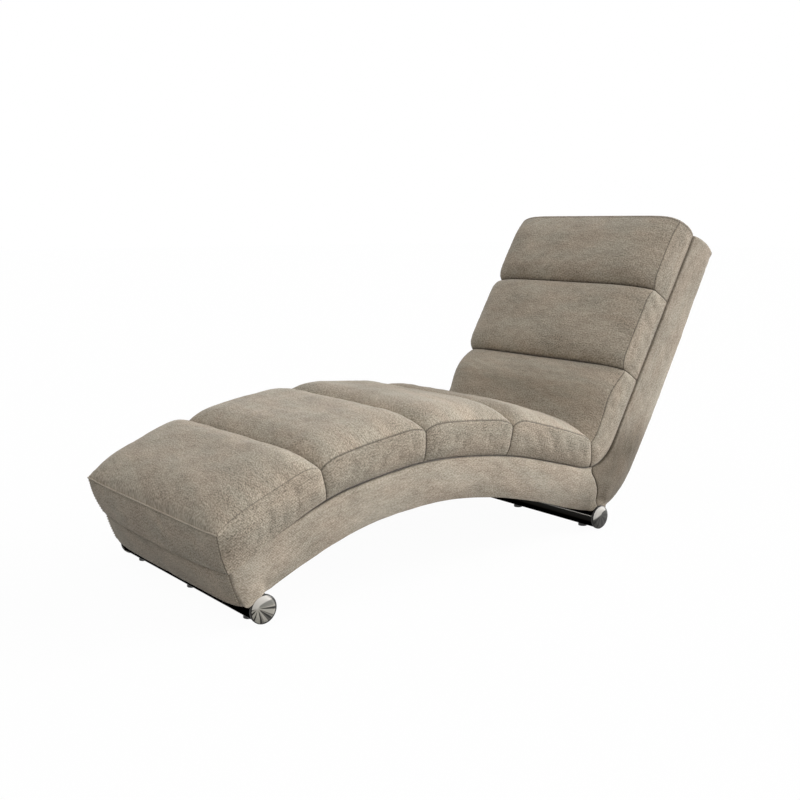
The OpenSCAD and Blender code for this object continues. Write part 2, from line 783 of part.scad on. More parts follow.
board(true, true);  // base_side_board_left
board(true, false);  // base_side_board_right
board(false, true);  // back_side_board_left
board(false, false);  // back_side_board_right
rail(0);  // foot_rail
rail(1);  // front_leg_rail
rail(2);  // calf_rail
rail(3);  // crest_rail
rail(4);  // seat_rail
rail(5);  // rear_leg_rail
rail(6);  // lower_back_rail
rail(7);  // middle_back_rail
rail(8);  // top_back_rail
base_webbing();
back_webbing();
pad(0, corner_i);  // base_foam_pad
pad(corner_i, rear_first - 1);  // back_foam_pad
foot_end_cover();
side_cover(true, true);  // base_side_cover_left
side_cover(true, false);  // base_side_cover_right
side_cover(false, true);  // back_side_cover_left
side_cover(false, false);  // back_side_cover_right
rear_cover();
top_cover();
underside_cover();
cushion(0);  // foot_cushion
cushion(1);  // calf_cushion
cushion(2);  // thigh_cushion
cushion(3);  // seat_cushion
cushion(4);  // lumbar_cushion
cushion(5);  // middle_back_cushion
cushion(6);  // head_cushion
tube(0);  // front_tube
tube(tube_span);  // rear_tube
cap(0, true);  // front_cap_left
cap(0, false);  // front_cap_right
cap(tube_span, true);  // rear_cap_left
cap(tube_span, false);  // rear_cap_right
glides(0);  // front_glides
glides(tube_span);  // rear_glides
cradles(0);  // front_cradles
cradles(tube_span);  // rear_cradles
leg_bolts();
leg_nuts();
corner_plates();
corner_bolts();
frame_screws();
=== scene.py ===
"""Dressed model of an upholstered chaise lounger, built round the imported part.

Lengths are in millimetres from the front tube's axis: X across, Y towards the back, Z up from the
floor. They become metres in the part's frame where a mesh is made. Points of the side view are (Y, Z).
"""
import json
import math

import bmesh
import bpy
import numpy as np
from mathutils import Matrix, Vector
from mathutils.kdtree import KDTree


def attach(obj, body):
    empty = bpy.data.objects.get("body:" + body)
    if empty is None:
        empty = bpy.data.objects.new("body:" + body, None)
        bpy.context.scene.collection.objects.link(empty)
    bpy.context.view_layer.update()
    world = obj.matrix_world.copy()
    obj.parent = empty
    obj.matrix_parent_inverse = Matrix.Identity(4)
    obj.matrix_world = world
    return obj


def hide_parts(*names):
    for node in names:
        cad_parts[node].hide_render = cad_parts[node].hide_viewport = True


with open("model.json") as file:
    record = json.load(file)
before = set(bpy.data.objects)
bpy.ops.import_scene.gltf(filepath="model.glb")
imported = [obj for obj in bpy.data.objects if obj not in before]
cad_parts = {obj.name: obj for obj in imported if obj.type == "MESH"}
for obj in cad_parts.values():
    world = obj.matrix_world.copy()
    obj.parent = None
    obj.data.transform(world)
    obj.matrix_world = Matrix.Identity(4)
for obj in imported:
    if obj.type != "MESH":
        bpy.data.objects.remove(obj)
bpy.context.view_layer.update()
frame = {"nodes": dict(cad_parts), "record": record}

# ---------------------------------------------------------------- sizes, as the part has them
MIDDLE_Y = 720.106        # from the front tube's axis to the middle of the part
TUBE_SPAN = 1071.0        # from the front tube to the rear tube
FRAME_HALF = 298.0        # half the frame's width, covers included
COVER_T = 10.0            # a side cover
CREST_H = 277.5           # deck line: top of the arch
FOOT_TOP_H = 135.0        # deck line: foot end
CORNER_H = 156.0          # deck line: corner between seat and back
FOOT_OVERHANG = 76.0      # foot end's upper edge in front of the tube
FOOT_TOE = 43.8           # foot end's lower edge in front of the tube
ARCH_H = 175.5            # top of the arch under the frame
FOOT_BASE_H = 46.5        # frame's lower edge at the front tube
REAR_BASE_H = 54.0        # frame's lower edge at the rear tube
BACK_LEN = 732.0          # back, from the corner to its top
BACK_LEAN = math.radians(30.5)
REAR_LEAN = math.radians(28.7)
BACK_DEPTH = 102.0        # back frame at its top
CORNER_REACH = 100.0      # round corner between seat and back
REAR_ROUND_FLOOR = 93.0   # round rear corner, along the floor
REAR_ROUND_UP = 155.0     # and up the rear
TUBE_R = 30.0
CAP_R = 32.0
GLIDE_H = 5.0
AXLE_H = GLIDE_H + TUBE_R
MM = 0.001                # in metres

DECK_RISE = [(0.045, 0.375), (0.190, 0.7605), (0.347, 0.955), (0.4575, 1.0)]
DECK_FALL = [(0.582, 0.918), (0.7105, 0.7375), (0.851, 0.411)]
CORNER_SHARE = 1.013
ARCH_RISE = [(-0.030, 0.0), (0.028, 0.2055), (0.0915, 0.43), (0.1905, 0.717), (0.294, 0.9145), (0.42, 1.0)]
ARCH_FALL = [(0.523, 0.9755), (0.649, 0.8065), (0.785, 0.5015), (0.8945, 0.1895), (0.9627, 0.032)]

# cushions, from the foot to the head; groove 0 is the foot end and groove 7 the head end
CUSHIONS = ["foot", "calf", "thigh", "seat", "lumbar", "middle_back", "head"]
FOOT, LUMBAR, HEAD = 0, 4, 6
LAST_GROOVE = 7
CORNER_GROOVE = 4
GROOVE_SHARES = [0.0, 0.141, 0.288, 0.431, 0.604, 0.76, 0.888, 1.0]   # of the deck line's length
GROOVE_LEAN = math.radians(13.0)                                      # of the corner groove
BOX_SHARES = [1.08, 0.98, 1.0, 1.04, 1.21, 1.06, 1.05]                # of BOX_H
PROUD_SHARES = [1.5, 1.1, 1.0, 1.0, 0.8, 0.5, 0.3]                    # of CUSHION_PROUD and SIDE_BULGE
BOX_H = 90.0              # side of a cushion, from the deck line to its top seam
GROOVE_H = 73.0           # the same at a groove
EAR_H = 84.0              # the same at the foot end and the head end
EAR_LEN = 80.0            # rise from an end to the full height
ROLL_LEN = 48.0           # rise from a groove to the full height
CROWN_H = 38.0            # crown over the top seams
GROOVE_CROWN_H = 20.0     # the same at a groove
CROWN_LEN = 80.0          # rise of the crown from a groove
FOOT_SAG = 4.0            # foot end's upper edge hangs between its corners
HEAD_RISE = 9.0           # head end's upper edge rises between its corners
CUSHION_PROUD = 8.0       # a cushion's top seam outside the frame
SIDE_BULGE = 6.0          # swell of a cushion's side
GROOVE_DRAW = 5.0         # how far a groove's thread draws the seam in
GROOVE_PULL = 24.0        # and how far from the groove
FOOT_SWELL = 7.0          # more swell of the foot cushion's sides at its end
FAR_SWELL = 9.0           # and of its far side alone
SKIRT = 13.0              # foot cushion hangs over the frame's edge
SKIRT_AT, SKIRT_REACH = -58.0, 50.0   # the most at this Y, and fading from there
LEAST_SEAM = 0.03         # what is left of the seam between frame and cushions at the foot end
SEAM_GROWS = (-10, 200)   # and where it becomes marked
FACE_BULGE = 14.0         # foot end as a whole
FOOT_BULGE = 10.0         # foot cushion's end
HEAD_BULGE = 15.0         # head cushion's end
END_REACH = 16.0          # how far such a bulge reaches into the cushion
HEAD_BOW = 12.0           # head end's top seam bows outward
HEAD_BOW_REACH = 30.0
HEAD_ROUND = 3.0          # head end's corners
EAR_POINT = 3.0           # foot end's pointed corners
EAR_POINT_REACH = 8.0
SOFT_GAP = 0.5            # between neighbouring cushions


# ---------------------------------------------------------------- curves in the side view
def unit(v):
    """Vectors of length 1."""
    v = np.asarray(v, float)
    return v / np.linalg.norm(v, axis=-1, keepdims=True)


def right_of(v):
    """Side-view vectors turned a quarter to the right."""
    v = np.asarray(v, float)
    return np.stack([v[..., 1], -v[..., 0]], -1)


def smooth(keys, steps):
    """Points of a smooth curve through the keys."""
    keys = np.asarray(keys, float)
    last = len(keys) - 1
    out = []
    for i in range(last):
        p0, p1, p2, p3 = keys[max(i - 1, 0)], keys[i], keys[i + 1], keys[min(i + 2, last)]
        for j in range(steps):
            t = j / steps
            out.append((2 * p1 + (p2 - p0) * t + (2 * p0 - 5 * p1 + 4 * p2 - p3) * t * t
                        + (3 * p1 - p0 - 3 * p2 + p3) * t ** 3) / 2)
    out.append(keys[last])
    return np.array(out)


def bend(a, c, b, steps):
    """Curve from a to b that leaves and arrives along the lines to c."""
    a, b, c = (np.asarray(p, float) for p in (a, b, c))
    t = np.linspace(0, 1, steps + 1)[:, None]
    return (1 - t) ** 2 * a + 2 * t * (1 - t) * c + t * t * b


def along(path):
    """Running length of a path."""
    return np.concatenate([[0], np.cumsum(np.linalg.norm(np.diff(path, axis=0), axis=1))])


def resample(path, shares):
    """Points of the path at shares of its length."""
    run = along(path)
    return np.stack([np.interp(np.asarray(shares) * run[-1], run, path[:, k]) for k in (0, 1)], -1)


def turned(direction):
    """Unit vector that leans by an angle from upright, towards +Y."""
    return np.array([math.sin(direction), math.cos(direction)])


back_dir = turned(BACK_LEAN)
rear_dir = turned(REAR_LEAN)
end_rake = math.atan((FOOT_OVERHANG - FOOT_TOE) / (FOOT_TOP_H - FOOT_BASE_H))
foot_dir = turned(-end_rake)


def raised(shares, low, high):
    """Points from shares of the span between the tubes, and of the way from one height to another."""
    return [(y * TUBE_SPAN, low + z * (high - low)) for y, z in shares]


deck_keys = ([(-FOOT_OVERHANG, FOOT_TOP_H)] + raised(DECK_RISE, FOOT_TOP_H, CREST_H)
             + raised(DECK_FALL, CORNER_H, CREST_H))
deck_corner = np.array([CORNER_SHARE * TUBE_SPAN, CORNER_H])
seat_dir = unit(deck_corner - np.array(deck_keys[-1]))
bend_start = deck_corner - CORNER_REACH * seat_dir
deck_top = deck_corner + BACK_LEN * back_dir
deck_path = np.concatenate([
    smooth(deck_keys + [tuple(bend_start)], 24),
    bend(bend_start, deck_corner, deck_corner + CORNER_REACH * back_dir, 24)[1:],
    [deck_top]])
deck_run = along(deck_path)
deck_len = deck_run[-1]


def deck(share):
    """Points of the deck line, on which the cushions lie, at shares of its length."""
    run = np.asarray(share) * deck_len
    return np.stack([np.interp(run, deck_run, deck_path[:, k]) for k in (0, 1)], -1)


def deck_out(share):
    """Direction that stands on the deck line, upwards."""
    step = 0.006
    ahead, behind = np.minimum(np.asarray(share) + step, 1), np.maximum(np.asarray(share) - step, 0)
    return -right_of(unit(deck(ahead) - deck(behind)))


rear_top = deck_top + BACK_DEPTH * np.array([math.cos(REAR_LEAN), -math.sin(REAR_LEAN)])
rear_foot = rear_top - rear_dir * (rear_top[1] - REAR_BASE_H) / math.cos(REAR_LEAN)
floor_end = rear_foot - np.array([REAR_ROUND_FLOOR, 0])
rear_bend = bend(floor_end, rear_foot, rear_foot + REAR_ROUND_UP * rear_dir, 24)
arch_path = smooth(raised(ARCH_RISE, FOOT_BASE_H, ARCH_H) + raised(ARCH_FALL, REAR_BASE_H, ARCH_H)
                   + [tuple(floor_end)], 16)
foot_bottom = np.array([-FOOT_TOE, FOOT_BASE_H])


# ---------------------------------------------------------------- small shape helpers
def rise(distance, reach):
    """Quarter-circle rise, from 0 at a seam to 1 at the given reach."""
    return np.sqrt(np.maximum(0, 1 - (1 - np.clip(distance / reach, 0, 1)) ** 2))


def ease(distance, reach):
    """Gentle rise, from 0 at an edge to 1 at the given reach."""
    return 1 - (1 - np.clip(distance / reach, 0, 1)) ** 2


def fade(value, low, high):
    """Smooth step from 0 to 1 between two values."""
    t = np.clip((value - low) / (high - low), 0, 1)
    return t * t * (3 - 2 * t)


def spread(count, ends=0.6):
    """Shares from 0 to 1 that stand closer near both ends."""
    u = np.linspace(0, 1, count)
    return (1 - ends) * u + ends * (1 - np.cos(math.pi * u)) / 2


def wave(seed, size, *coords):
    """Smooth noise of about -1 to 1, with features of that size in the coordinates' unit."""
    draw = np.random.default_rng(seed)
    total, count, slower, lower = 0, 14, 0.6, 0.6
    for _ in range(count):
        way = draw.normal(size=len(coords)) / size
        phase = 2 * math.pi * sum(c * a for c, a in zip(coords, way)) * slower
        total = total + np.sin(phase + draw.uniform(0, 2 * math.pi))
    return total / math.sqrt(count / 2) * lower


def over(value, grid):
    """The value, repeated over the grid."""
    return np.broadcast_to(value, grid.shape)


def near(distance, width):
    """1 at distance 0, fading to 0 over the width."""
    return np.exp(-(np.asarray(distance) / width) ** 2)


def settled(y):
    """How marked the seam between frame and cushions is: it fades where the foot cushion lies on the frame."""
    return LEAST_SEAM + (1 - LEAST_SEAM) * fade(y, *SEAM_GROWS)


def sag(y):
    """How far the foot cushion's skirt hangs over the frame's top edge, close to the foot end."""
    return SKIRT * near(y - SKIRT_AT, SKIRT_REACH)


def front_bulge(share, across):
    """Forward swell of the foot end as a whole, from its bottom edge (0) to the cushion's top seam (1)."""
    return FACE_BULGE * 4 * share * (1 - share) * (1 - np.abs(across) ** 2.5)


# ---------------------------------------------------------------- meshes from patches
def link(name, data):
    """Puts a new object in the scene."""
    obj = bpy.data.objects.new(name, data)
    bpy.context.scene.collection.objects.link(obj)
    return obj


def sew(name, patches, material, tone=None):
    """One closed mesh from grid patches that share their edges.
    A patch is (points, weave coordinates, seam strength), each a grid; tone paints shade into the cloth by
    place."""
    points, weave, seam, faces = [], [], [], []
    start = 0
    for p, uv, s in patches:
        rows, cols = p.shape[:2]
        points.append(p.reshape(-1, 3))
        weave.append(np.broadcast_to(uv, (rows, cols, 2)).reshape(-1, 2))
        seam.append(np.broadcast_to(s, (rows, cols)).reshape(-1))
        a = start + np.arange(rows * cols).reshape(rows, cols)
        faces.append(np.stack([a[:-1, :-1], a[1:, :-1], a[1:, 1:], a[:-1, 1:]], -1).reshape(-1, 4))
        start += rows * cols
    points, weave, seam, faces = (np.concatenate(part) for part in (points, weave, seam, faces))
    # points that round to the same hundredth of a millimetre become one
    _, first, inverse = np.unique(np.round(points, 2), axis=0, return_index=True, return_inverse=True)
    inverse = inverse.reshape(-1)
    strongest = np.zeros(len(first))
    np.maximum.at(strongest, inverse, seam)
    flat = inverse[faces]
    keep_faces, keep_uv = [], []
    for quad, merged in zip(faces, flat):
        ring, ring_uv = [], []
        for old, new in zip(quad, merged):
            if new not in ring:
                ring.append(new)
                ring_uv.append(weave[old])
        if len(ring) > 2:
            keep_faces.append([int(n) for n in ring])
            keep_uv.extend(ring_uv)
    world = points[first] * MM
    world[:, 1] -= MIDDLE_Y * MM
    mesh = bpy.data.meshes.new(name)
    mesh.from_pydata([tuple(p) for p in world], [], keep_faces)
    layer = mesh.uv_layers.new(name="weave")
    layer.data.foreach_set("uv", np.array(keep_uv, np.float32).reshape(-1) * MM)
    mark = mesh.attributes.new("seam", "FLOAT", "POINT")
    mark.data.foreach_set("value", strongest.astype(np.float32))
    # painted shade by place, kept in the tone attribute
    if tone:
        painted_shade = mesh.attributes.new("tone", "FLOAT", "POINT")
        painted_shade.data.foreach_set("value", tone(points[first]).astype(np.float32))
    shaped = bmesh.new()
    shaped.from_mesh(mesh)
    bmesh.ops.recalc_face_normals(shaped, faces=shaped.faces)
    shaped.to_mesh(mesh)
    shaped.free()
    mesh.shade_smooth()
    obj = link(name, mesh)
    mesh.materials.append(material)
    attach(obj, "root")
    return obj


# ---------------------------------------------------------------- shader maths
class Wire:
    """A shader socket that can stand in Python sums."""

    def __init__(self, socket):
        self.socket = socket

    def __add__(self, other): return maths("ADD", self, other)
    def __radd__(self, other): return maths("ADD", other, self)
    def __sub__(self, other): return maths("SUBTRACT", self, other)
    def __rsub__(self, other): return maths("SUBTRACT", other, self)
    def __mul__(self, other): return maths("MULTIPLY", self, other)
    def __rmul__(self, other): return maths("MULTIPLY", other, self)
    def __truediv__(self, other): return maths("DIVIDE", self, other)
    def __rtruediv__(self, other): return maths("DIVIDE", other, self)


def maths(operation, *values):
    """A Math node on wires and numbers, in the tree of the first wire."""
    tree = next(value.socket.id_data for value in values if isinstance(value, Wire))
    return node(tree, "ShaderNodeMath", {"operation": operation}, *values)


def fill(tree, socket, value):
    """Links a wire to a socket, or writes the value in it."""
    if isinstance(value, Wire):
        tree.links.new(value.socket, socket)
    else:
        socket.default_value = value


def node(tree, kind, settings=None, *values, out=0, **named):
    """Adds a node, sets its settings, then fills its sockets in order or by name."""
    made = tree.nodes.new(kind)
    for key, value in (settings or {}).items():
        setattr(made, key, value)
    shown = [socket for socket in made.inputs if socket.enabled]
    for socket, value in zip(shown, values):
        fill(tree, socket, value)
    for key, value in named.items():
        fill(tree, made.inputs[key.replace("_", " ")], value)
    outs = [socket for socket in made.outputs if socket.enabled]
    return Wire(outs[out] if isinstance(out, int) else made.outputs[out])


def blank(name):
    """A material with only a Principled shader; returns it, its tree and the shader."""
    material = bpy.data.materials.new(name)
    material.use_nodes = True
    tree = material.node_tree
    tree.nodes.clear()
    shader = tree.nodes.new("ShaderNodeBsdfPrincipled")
    output = tree.nodes.new("ShaderNodeOutputMaterial")
    tree.links.new(shader.outputs[0], output.inputs["Surface"])
    return material, tree, shader


def feed(tree, shader, **values):
    """Fills a shader's sockets by name."""
    for key, value in values.items():
        fill(tree, shader.inputs[key.replace("_", " ")], value)


def cloud(tree, vector, scale, detail=2.0, rough=0.5):
    """Noise of 0 to 1."""
    return node(tree, "ShaderNodeTexNoise", {"noise_dimensions": "3D"}, Vector=vector, Scale=scale,
                Detail=detail, Roughness=rough)


def mix(tree, share, a, b, blend="MIX"):
    """Colour a, and b as far as the share says."""
    return node(tree, "ShaderNodeMix", {"data_type": "RGBA", "blend_type": blend}, share, a, b)


def remap(tree, value, low, high, to_low=0.0, to_high=1.0):
    """The value's way from low to high, held between its two ends."""
    return node(tree, "ShaderNodeMapRange", {"interpolation_type": "LINEAR", "clamp": True},
                value, low, high, to_low, to_high)


def axes(tree, vector):
    """The X, Y and Z of a vector."""
    split = node(tree, "ShaderNodeSeparateXYZ", None, vector)
    return [Wire(socket) for socket in split.socket.node.outputs]


def marks(tree, place, per_metre, detail, rough, half):
    """Soft marks on the cloth, 0 to 1, with so many per metre along and across it; a smaller half is harder."""
    stretched = node(tree, "ShaderNodeVectorMath", {"operation": "MULTIPLY"}, place, per_metre + (1.0,))
    return remap(tree, cloud(tree, stretched, 1.0, detail, rough), 0.5 - half, 0.5 + half)


def colour(r, g, b):
    """Linear colour from display values of 0 to 255."""
    def lin(c):
        c /= 255
        return c / 12.92 if c <= 0.04045 else ((c + 0.055) / 1.055) ** 2.4
    return (lin(r), lin(g), lin(b), 1.0)


RIB_PITCH = 0.0047                          # diagonal rib of the weave, in metres
COUNTER_PITCH = 0.0058                      # and the rib that crosses it
WARM, COOL = (1.025, 0.99, 0.96, 1.0), (0.985, 1.005, 0.995, 1.0)
SEAM_DARK = (0.04, 0.033, 0.026, 1.0)
PAINTED_SHADE_DARK = (0.46, 0.445, 0.42, 1.0)        # painted shade, under the low rear corner
CLOTH_DEPTH = 0.0007


def upholstery(name, light, deep, shift, coarse, fine):
    """Woven taupe cloth: coarse grain with a diagonal rib, faint streaks, and brown and grey-green patches.
    light and deep are its two ends of tone, shift moves the pattern, coarse scales the grain's strength
    and a smaller fine makes the grain harder."""
    material, tree, shader = blank(name)
    weave = node(tree, "ShaderNodeUVMap", {"uv_map": "weave"})
    place = node(tree, "ShaderNodeVectorMath", {"operation": "ADD"}, weave, (shift, 0.37 * shift, 0))
    patches = marks(tree, place, (5.5, 12.0), 3.0, 0.6, 0.17)
    blots = marks(tree, place, (24.0, 52.0), 4.0, 0.65, 0.2)
    streaks = marks(tree, place, (38.0, 210.0), 2.0, 0.5, 0.2)
    grain = marks(tree, place, (210.0, 270.0), 2.0, 0.7, fine)
    u, v, _ = axes(tree, place)
    wobble = cloud(tree, place, 45.0, 2.0, 0.6) * 9.0 + cloud(tree, place, 150.0, 2.0, 0.6) * 7.0
    slant = (u + v * 0.62) * (2 * math.pi / RIB_PITCH) + wobble
    counter = (v - u * 0.45) * (2 * math.pi / COUNTER_PITCH) - wobble
    rib = maths("SINE", slant) * 0.3 + maths("SINE", counter) * 0.2 + 0.5
    tone = (patches * 0.17 + blots * 0.15 + streaks * 0.14 + grain * (0.45 * coarse)
            + rib * (0.19 * coarse) - 0.02)
    base = mix(tree, tone, deep, light)
    hue = marks(tree, place, (7.0, 17.0), 2.0, 0.5, 0.14)
    base = mix(tree, 1.0, base, mix(tree, hue, WARM, COOL), "MULTIPLY")
    seam = node(tree, "ShaderNodeAttribute", {"attribute_name": "seam"}, out="Fac")
    base = mix(tree, seam * 0.75, base, SEAM_DARK)
    # painted shade: the tone attribute darkens the cloth at the low rear of the frame covers
    painted_shade = node(tree, "ShaderNodeAttribute", {"attribute_name": "tone"}, out="Fac")
    base = mix(tree, painted_shade, base, PAINTED_SHADE_DARK, "MULTIPLY")
    bump = node(tree, "ShaderNodeBump", None, 0.5, CLOTH_DEPTH, 1.0, grain * 0.6 + rib * 0.4)
    feed(tree, shader, Base_Color=base, Roughness=0.92, Normal=bump, Specular_IOR_Level=0.12,
         Sheen_Weight=0.2, Sheen_Roughness=0.45, Sheen_Tint=(0.9, 0.88, 0.85, 1.0))
    return material


def plain(name, base, roughness, metallic, grain, amount, **more):
    """A surface with fine variation of tone, by amount, and of roughness."""
    material, tree, shader = blank(name)
    place = node(tree, "ShaderNodeTexCoord", None, out="Object")
    speck = cloud(tree, place, grain, 3.0, 0.6)
    dark, pale = (tuple(min(1, c * (1 + by)) for c in base) + (1.0,) for by in (-amount, amount))
    feed(tree, shader, Base_Color=mix(tree, speck, dark, pale), Metallic=metallic,
         Roughness=remap(tree, speck, 0.3, 0.7, roughness * 0.85, min(1, roughness * 1.15)), **more)
    return material


CAP_PAINTED_DARK = (0.012, 0.011, 0.009, 1.0)
CAP_RIM = 0.0262                            # inner edge of the painted dark reflection crescent at a cap's rim, in metres


def capped(name, axle_y, hub, slope, bright, low):
    """Chrome end cap with a painted reflection: pale above a line through the hub of its rays, a dark fan
    below.
    hub is where the rays meet, from the axle, and slope tilts the line, in metres; bright scales the
    painted upper tones and low the painted lower ones."""
    def toned(r, g, b, by):
        return (r * by, g * by, b * by, 1.0)

    def length(a, b):
        return maths("SQRT", a * a + b * b)

    material, tree, shader = blank(name)
    _, place_y, place_z = axes(tree, node(tree, "ShaderNodeTexCoord", None, out="Object"))
    y, z = place_y - axle_y, place_z - AXLE_H * MM
    across, up = y - hub[0], z - hub[1]
    far = length(across, up)
    turn = maths("ARCTAN2", up, across)
    # painted reflection: a dark fan of rays below a line through the hub, pale tones above it, a darker wedge
    # beside it
    rays = maths("SINE", turn * 11.0 + cloud(tree, turn, 2.6, 1.0, 0.5) * 6.0)
    below = remap(tree, across * slope - up, -0.002, 0.002)
    fan = remap(tree, rays, -0.1, 0.7) * below * remap(tree, far, 0.002, 0.010)
    right = remap(tree, across, 0.0, 0.002) * across
    wedge = (remap(tree, right * 0.0165 / (right + 0.0125) - up, -0.0012, 0.0012)
             * remap(tree, across, 0.0, 0.006))
    # painted dark reflection in a crescent at the rim
    crescent = (remap(tree, y * 0.9 - z * 0.35, -0.004, 0.012)
                * remap(tree, length(y, z), CAP_RIM, CAP_RIM + 0.0016))
    tone = mix(tree, remap(tree, far, 0.0, 0.03), toned(0.62, 0.59, 0.54, bright),
               toned(0.8, 0.765, 0.71, bright))
    tone = mix(tree, wedge, tone, toned(0.23, 0.225, 0.2, low))
    tone = mix(tree, below, tone, mix(tree, fan, toned(0.42, 0.4, 0.35, low), CAP_PAINTED_DARK))
    tone = mix(tree, crescent, tone, CAP_PAINTED_DARK)
    # painted dark reflection on the cap's sides, where they do not face outward
    facing, _, _ = axes(tree, node(tree, "ShaderNodeNewGeometry", None, out="True Normal"))
    outward = remap(tree, maths("ABSOLUTE", facing), 0.72, 0.84)
    feed(tree, shader, Base_Color=mix(tree, outward, CAP_PAINTED_DARK, tone), Metallic=0.0, Roughness=0.5,
         Specular_IOR_Level=0.3)
    return material


cushion_cloth = upholstery("taupe_cushion_cloth", colour(202, 190, 173), colour(78, 70, 58), 0.0, 1.15, 0.15)
frame_cloth = upholstery("taupe_frame_cloth", colour(216, 204, 188), colour(98, 88, 73), 1.7, 0.95, 0.2)
thread = plain("stitching_thread", colour(198, 188, 170)[:3], 0.8, 0.0, 900.0, 0.1)
# the rear cap is a darker, shaded copy of the front cap's painted reflection
front_cap = capped("front_chrome_cap", -MIDDLE_Y * MM, (-0.017, 0.007), 0.05, 0.8, 0.85)
rear_cap = capped("rear_chrome_cap", (TUBE_SPAN - MIDDLE_Y) * MM, (-0.004, 0.008), 0.38, 0.8, 0.12)
by_slot = {
    "cushion_fabric": cushion_cloth,
    "frame_fabric": frame_cloth,
    "chrome_tube": plain("black_chrome_tube", (0.011, 0.0105, 0.0096), 0.12, 1.0, 40.0, 0.05,
                         Specular_Tint=(0.0, 0.0, 0.0, 1)),
    "glide_plastic": plain("black_glide_plastic", (0.02, 0.02, 0.02), 0.5, 0.0, 300.0, 0.2),
    "frame_wood": plain("raw_plywood", (0.62, 0.46, 0.29), 0.7, 0.0, 60.0, 0.15),
    "foam": plain("upholstery_foam", (0.83, 0.77, 0.58), 0.95, 0.0, 900.0, 0.1),
    "webbing": plain("elastic_webbing", (0.05, 0.05, 0.055), 0.85, 0.0, 700.0, 0.3),
    "zinc_steel": plain("zinc_plated_steel", (0.6, 0.61, 0.63), 0.35, 1.0, 120.0, 0.06)}
for part in frame["record"]["subparts"]:
    shown = frame["nodes"][part["node"]].data.materials
    shown.clear()
    cap = {"front_cap": front_cap, "rear_cap": rear_cap}.get(part["node"].rsplit("_", 1)[0])
    shown.append(cap or by_slot[part["material_slot"]])


# ---------------------------------------------------------------- cushions
ROWS, COLS, SIDES = 97, 121, 27      # points along a cushion, across it and up its sides
HANDS = ((-1, "left"), (1, "right"))
GROOVE_DIP, CORNER_DIP = 2.0, 5.0    # a cover's groove lies this much deeper than the pad's
CROWN_DIP = 5.0                      # and its crown there
LUMBAR_SLANT = 142.0                 # how much further than a roll the lumbar cushion's upper end slants
SIDE_ROLL = 30.0                     # a side swells from the grooves over this length
WRAP = 75.0                          # round stretch of the sides next to the foot end
WRAP_OUT = 6.0                       # the foot cushion lies this much further out, on the frame's cover
SWELL_REACH, FAR_REACH = 90.0, 60.0  # of the foot cushion's swells, from the foot end
TUCKS = ((2.0, rise, 8.0), (6.0, ease, 34.0))        # how a side draws in to the frame: depth, form, height
SKIRT_RIM, SKIRT_END = 12.0, 10.0    # the skirt hangs this close to the foot end's sides and edge
CREASE_W = 2.4                       # dip along a sewn seam
PUCKER, PUCKER_REACH = 0.55, 13.0    # small puckers beside it
ROUND_CORNER, SQUARE_CORNER = 6, 10  # how squarely a crown falls off at the sides
HEAD_SEAM = 4.5                      # seam close to the head end, from its edge
NO_END = 1e3                         # distance of an end that isn't there
UV_STEP = 700.0                      # between the cloth of one cushion and the next


def end_height(g):
    """Seam height over the deck line at groove g."""
    return {0: EAR_H, LAST_GROOVE: EAR_H, CORNER_GROOVE: GROOVE_H - CORNER_DIP}.get(g, GROOVE_H - GROOVE_DIP)


def end_reach(g):
    """How far from groove g a cushion has its full height."""
    return EAR_LEN if g in (0, LAST_GROOVE) else ROLL_LEN


def end_crown(g):
    """Crown over the seam at groove g."""
    return {0: -FOOT_SAG, LAST_GROOVE: HEAD_RISE}.get(g, GROOVE_CROWN_H - CROWN_DIP)


def slant(distance, reach):
    """Rise that starts straight and levels out at the given reach."""
    return np.sin(math.pi / 2 * np.clip(distance / reach, 0, 1))


def end_roll(i, g, distance, reach):
    """Rise from the seam at groove g into cushion i: the head end and both ends of the lumbar cushion slant,
    apart from the crown at its upper end, and every other end rolls over."""
    if i == LUMBAR and not (g == i + 1 and reach == CROWN_LEN):
        return slant(distance, reach * 2 if g == CORNER_GROOVE else reach + LUMBAR_SLANT)
    return slant(distance, reach) if g == LAST_GROOVE else rise(distance, reach)


def stand(g):
    """Direction in which groove g rises from the deck line."""
    if g == 0:
        return foot_dir
    if g == CORNER_GROOVE:
        between = -unit(right_of(seat_dir) + right_of(back_dir))
        return between * math.cos(GROOVE_LEAN) + right_of(between) * math.sin(GROOVE_LEAN)
    return deck_out(GROOVE_SHARES[g])


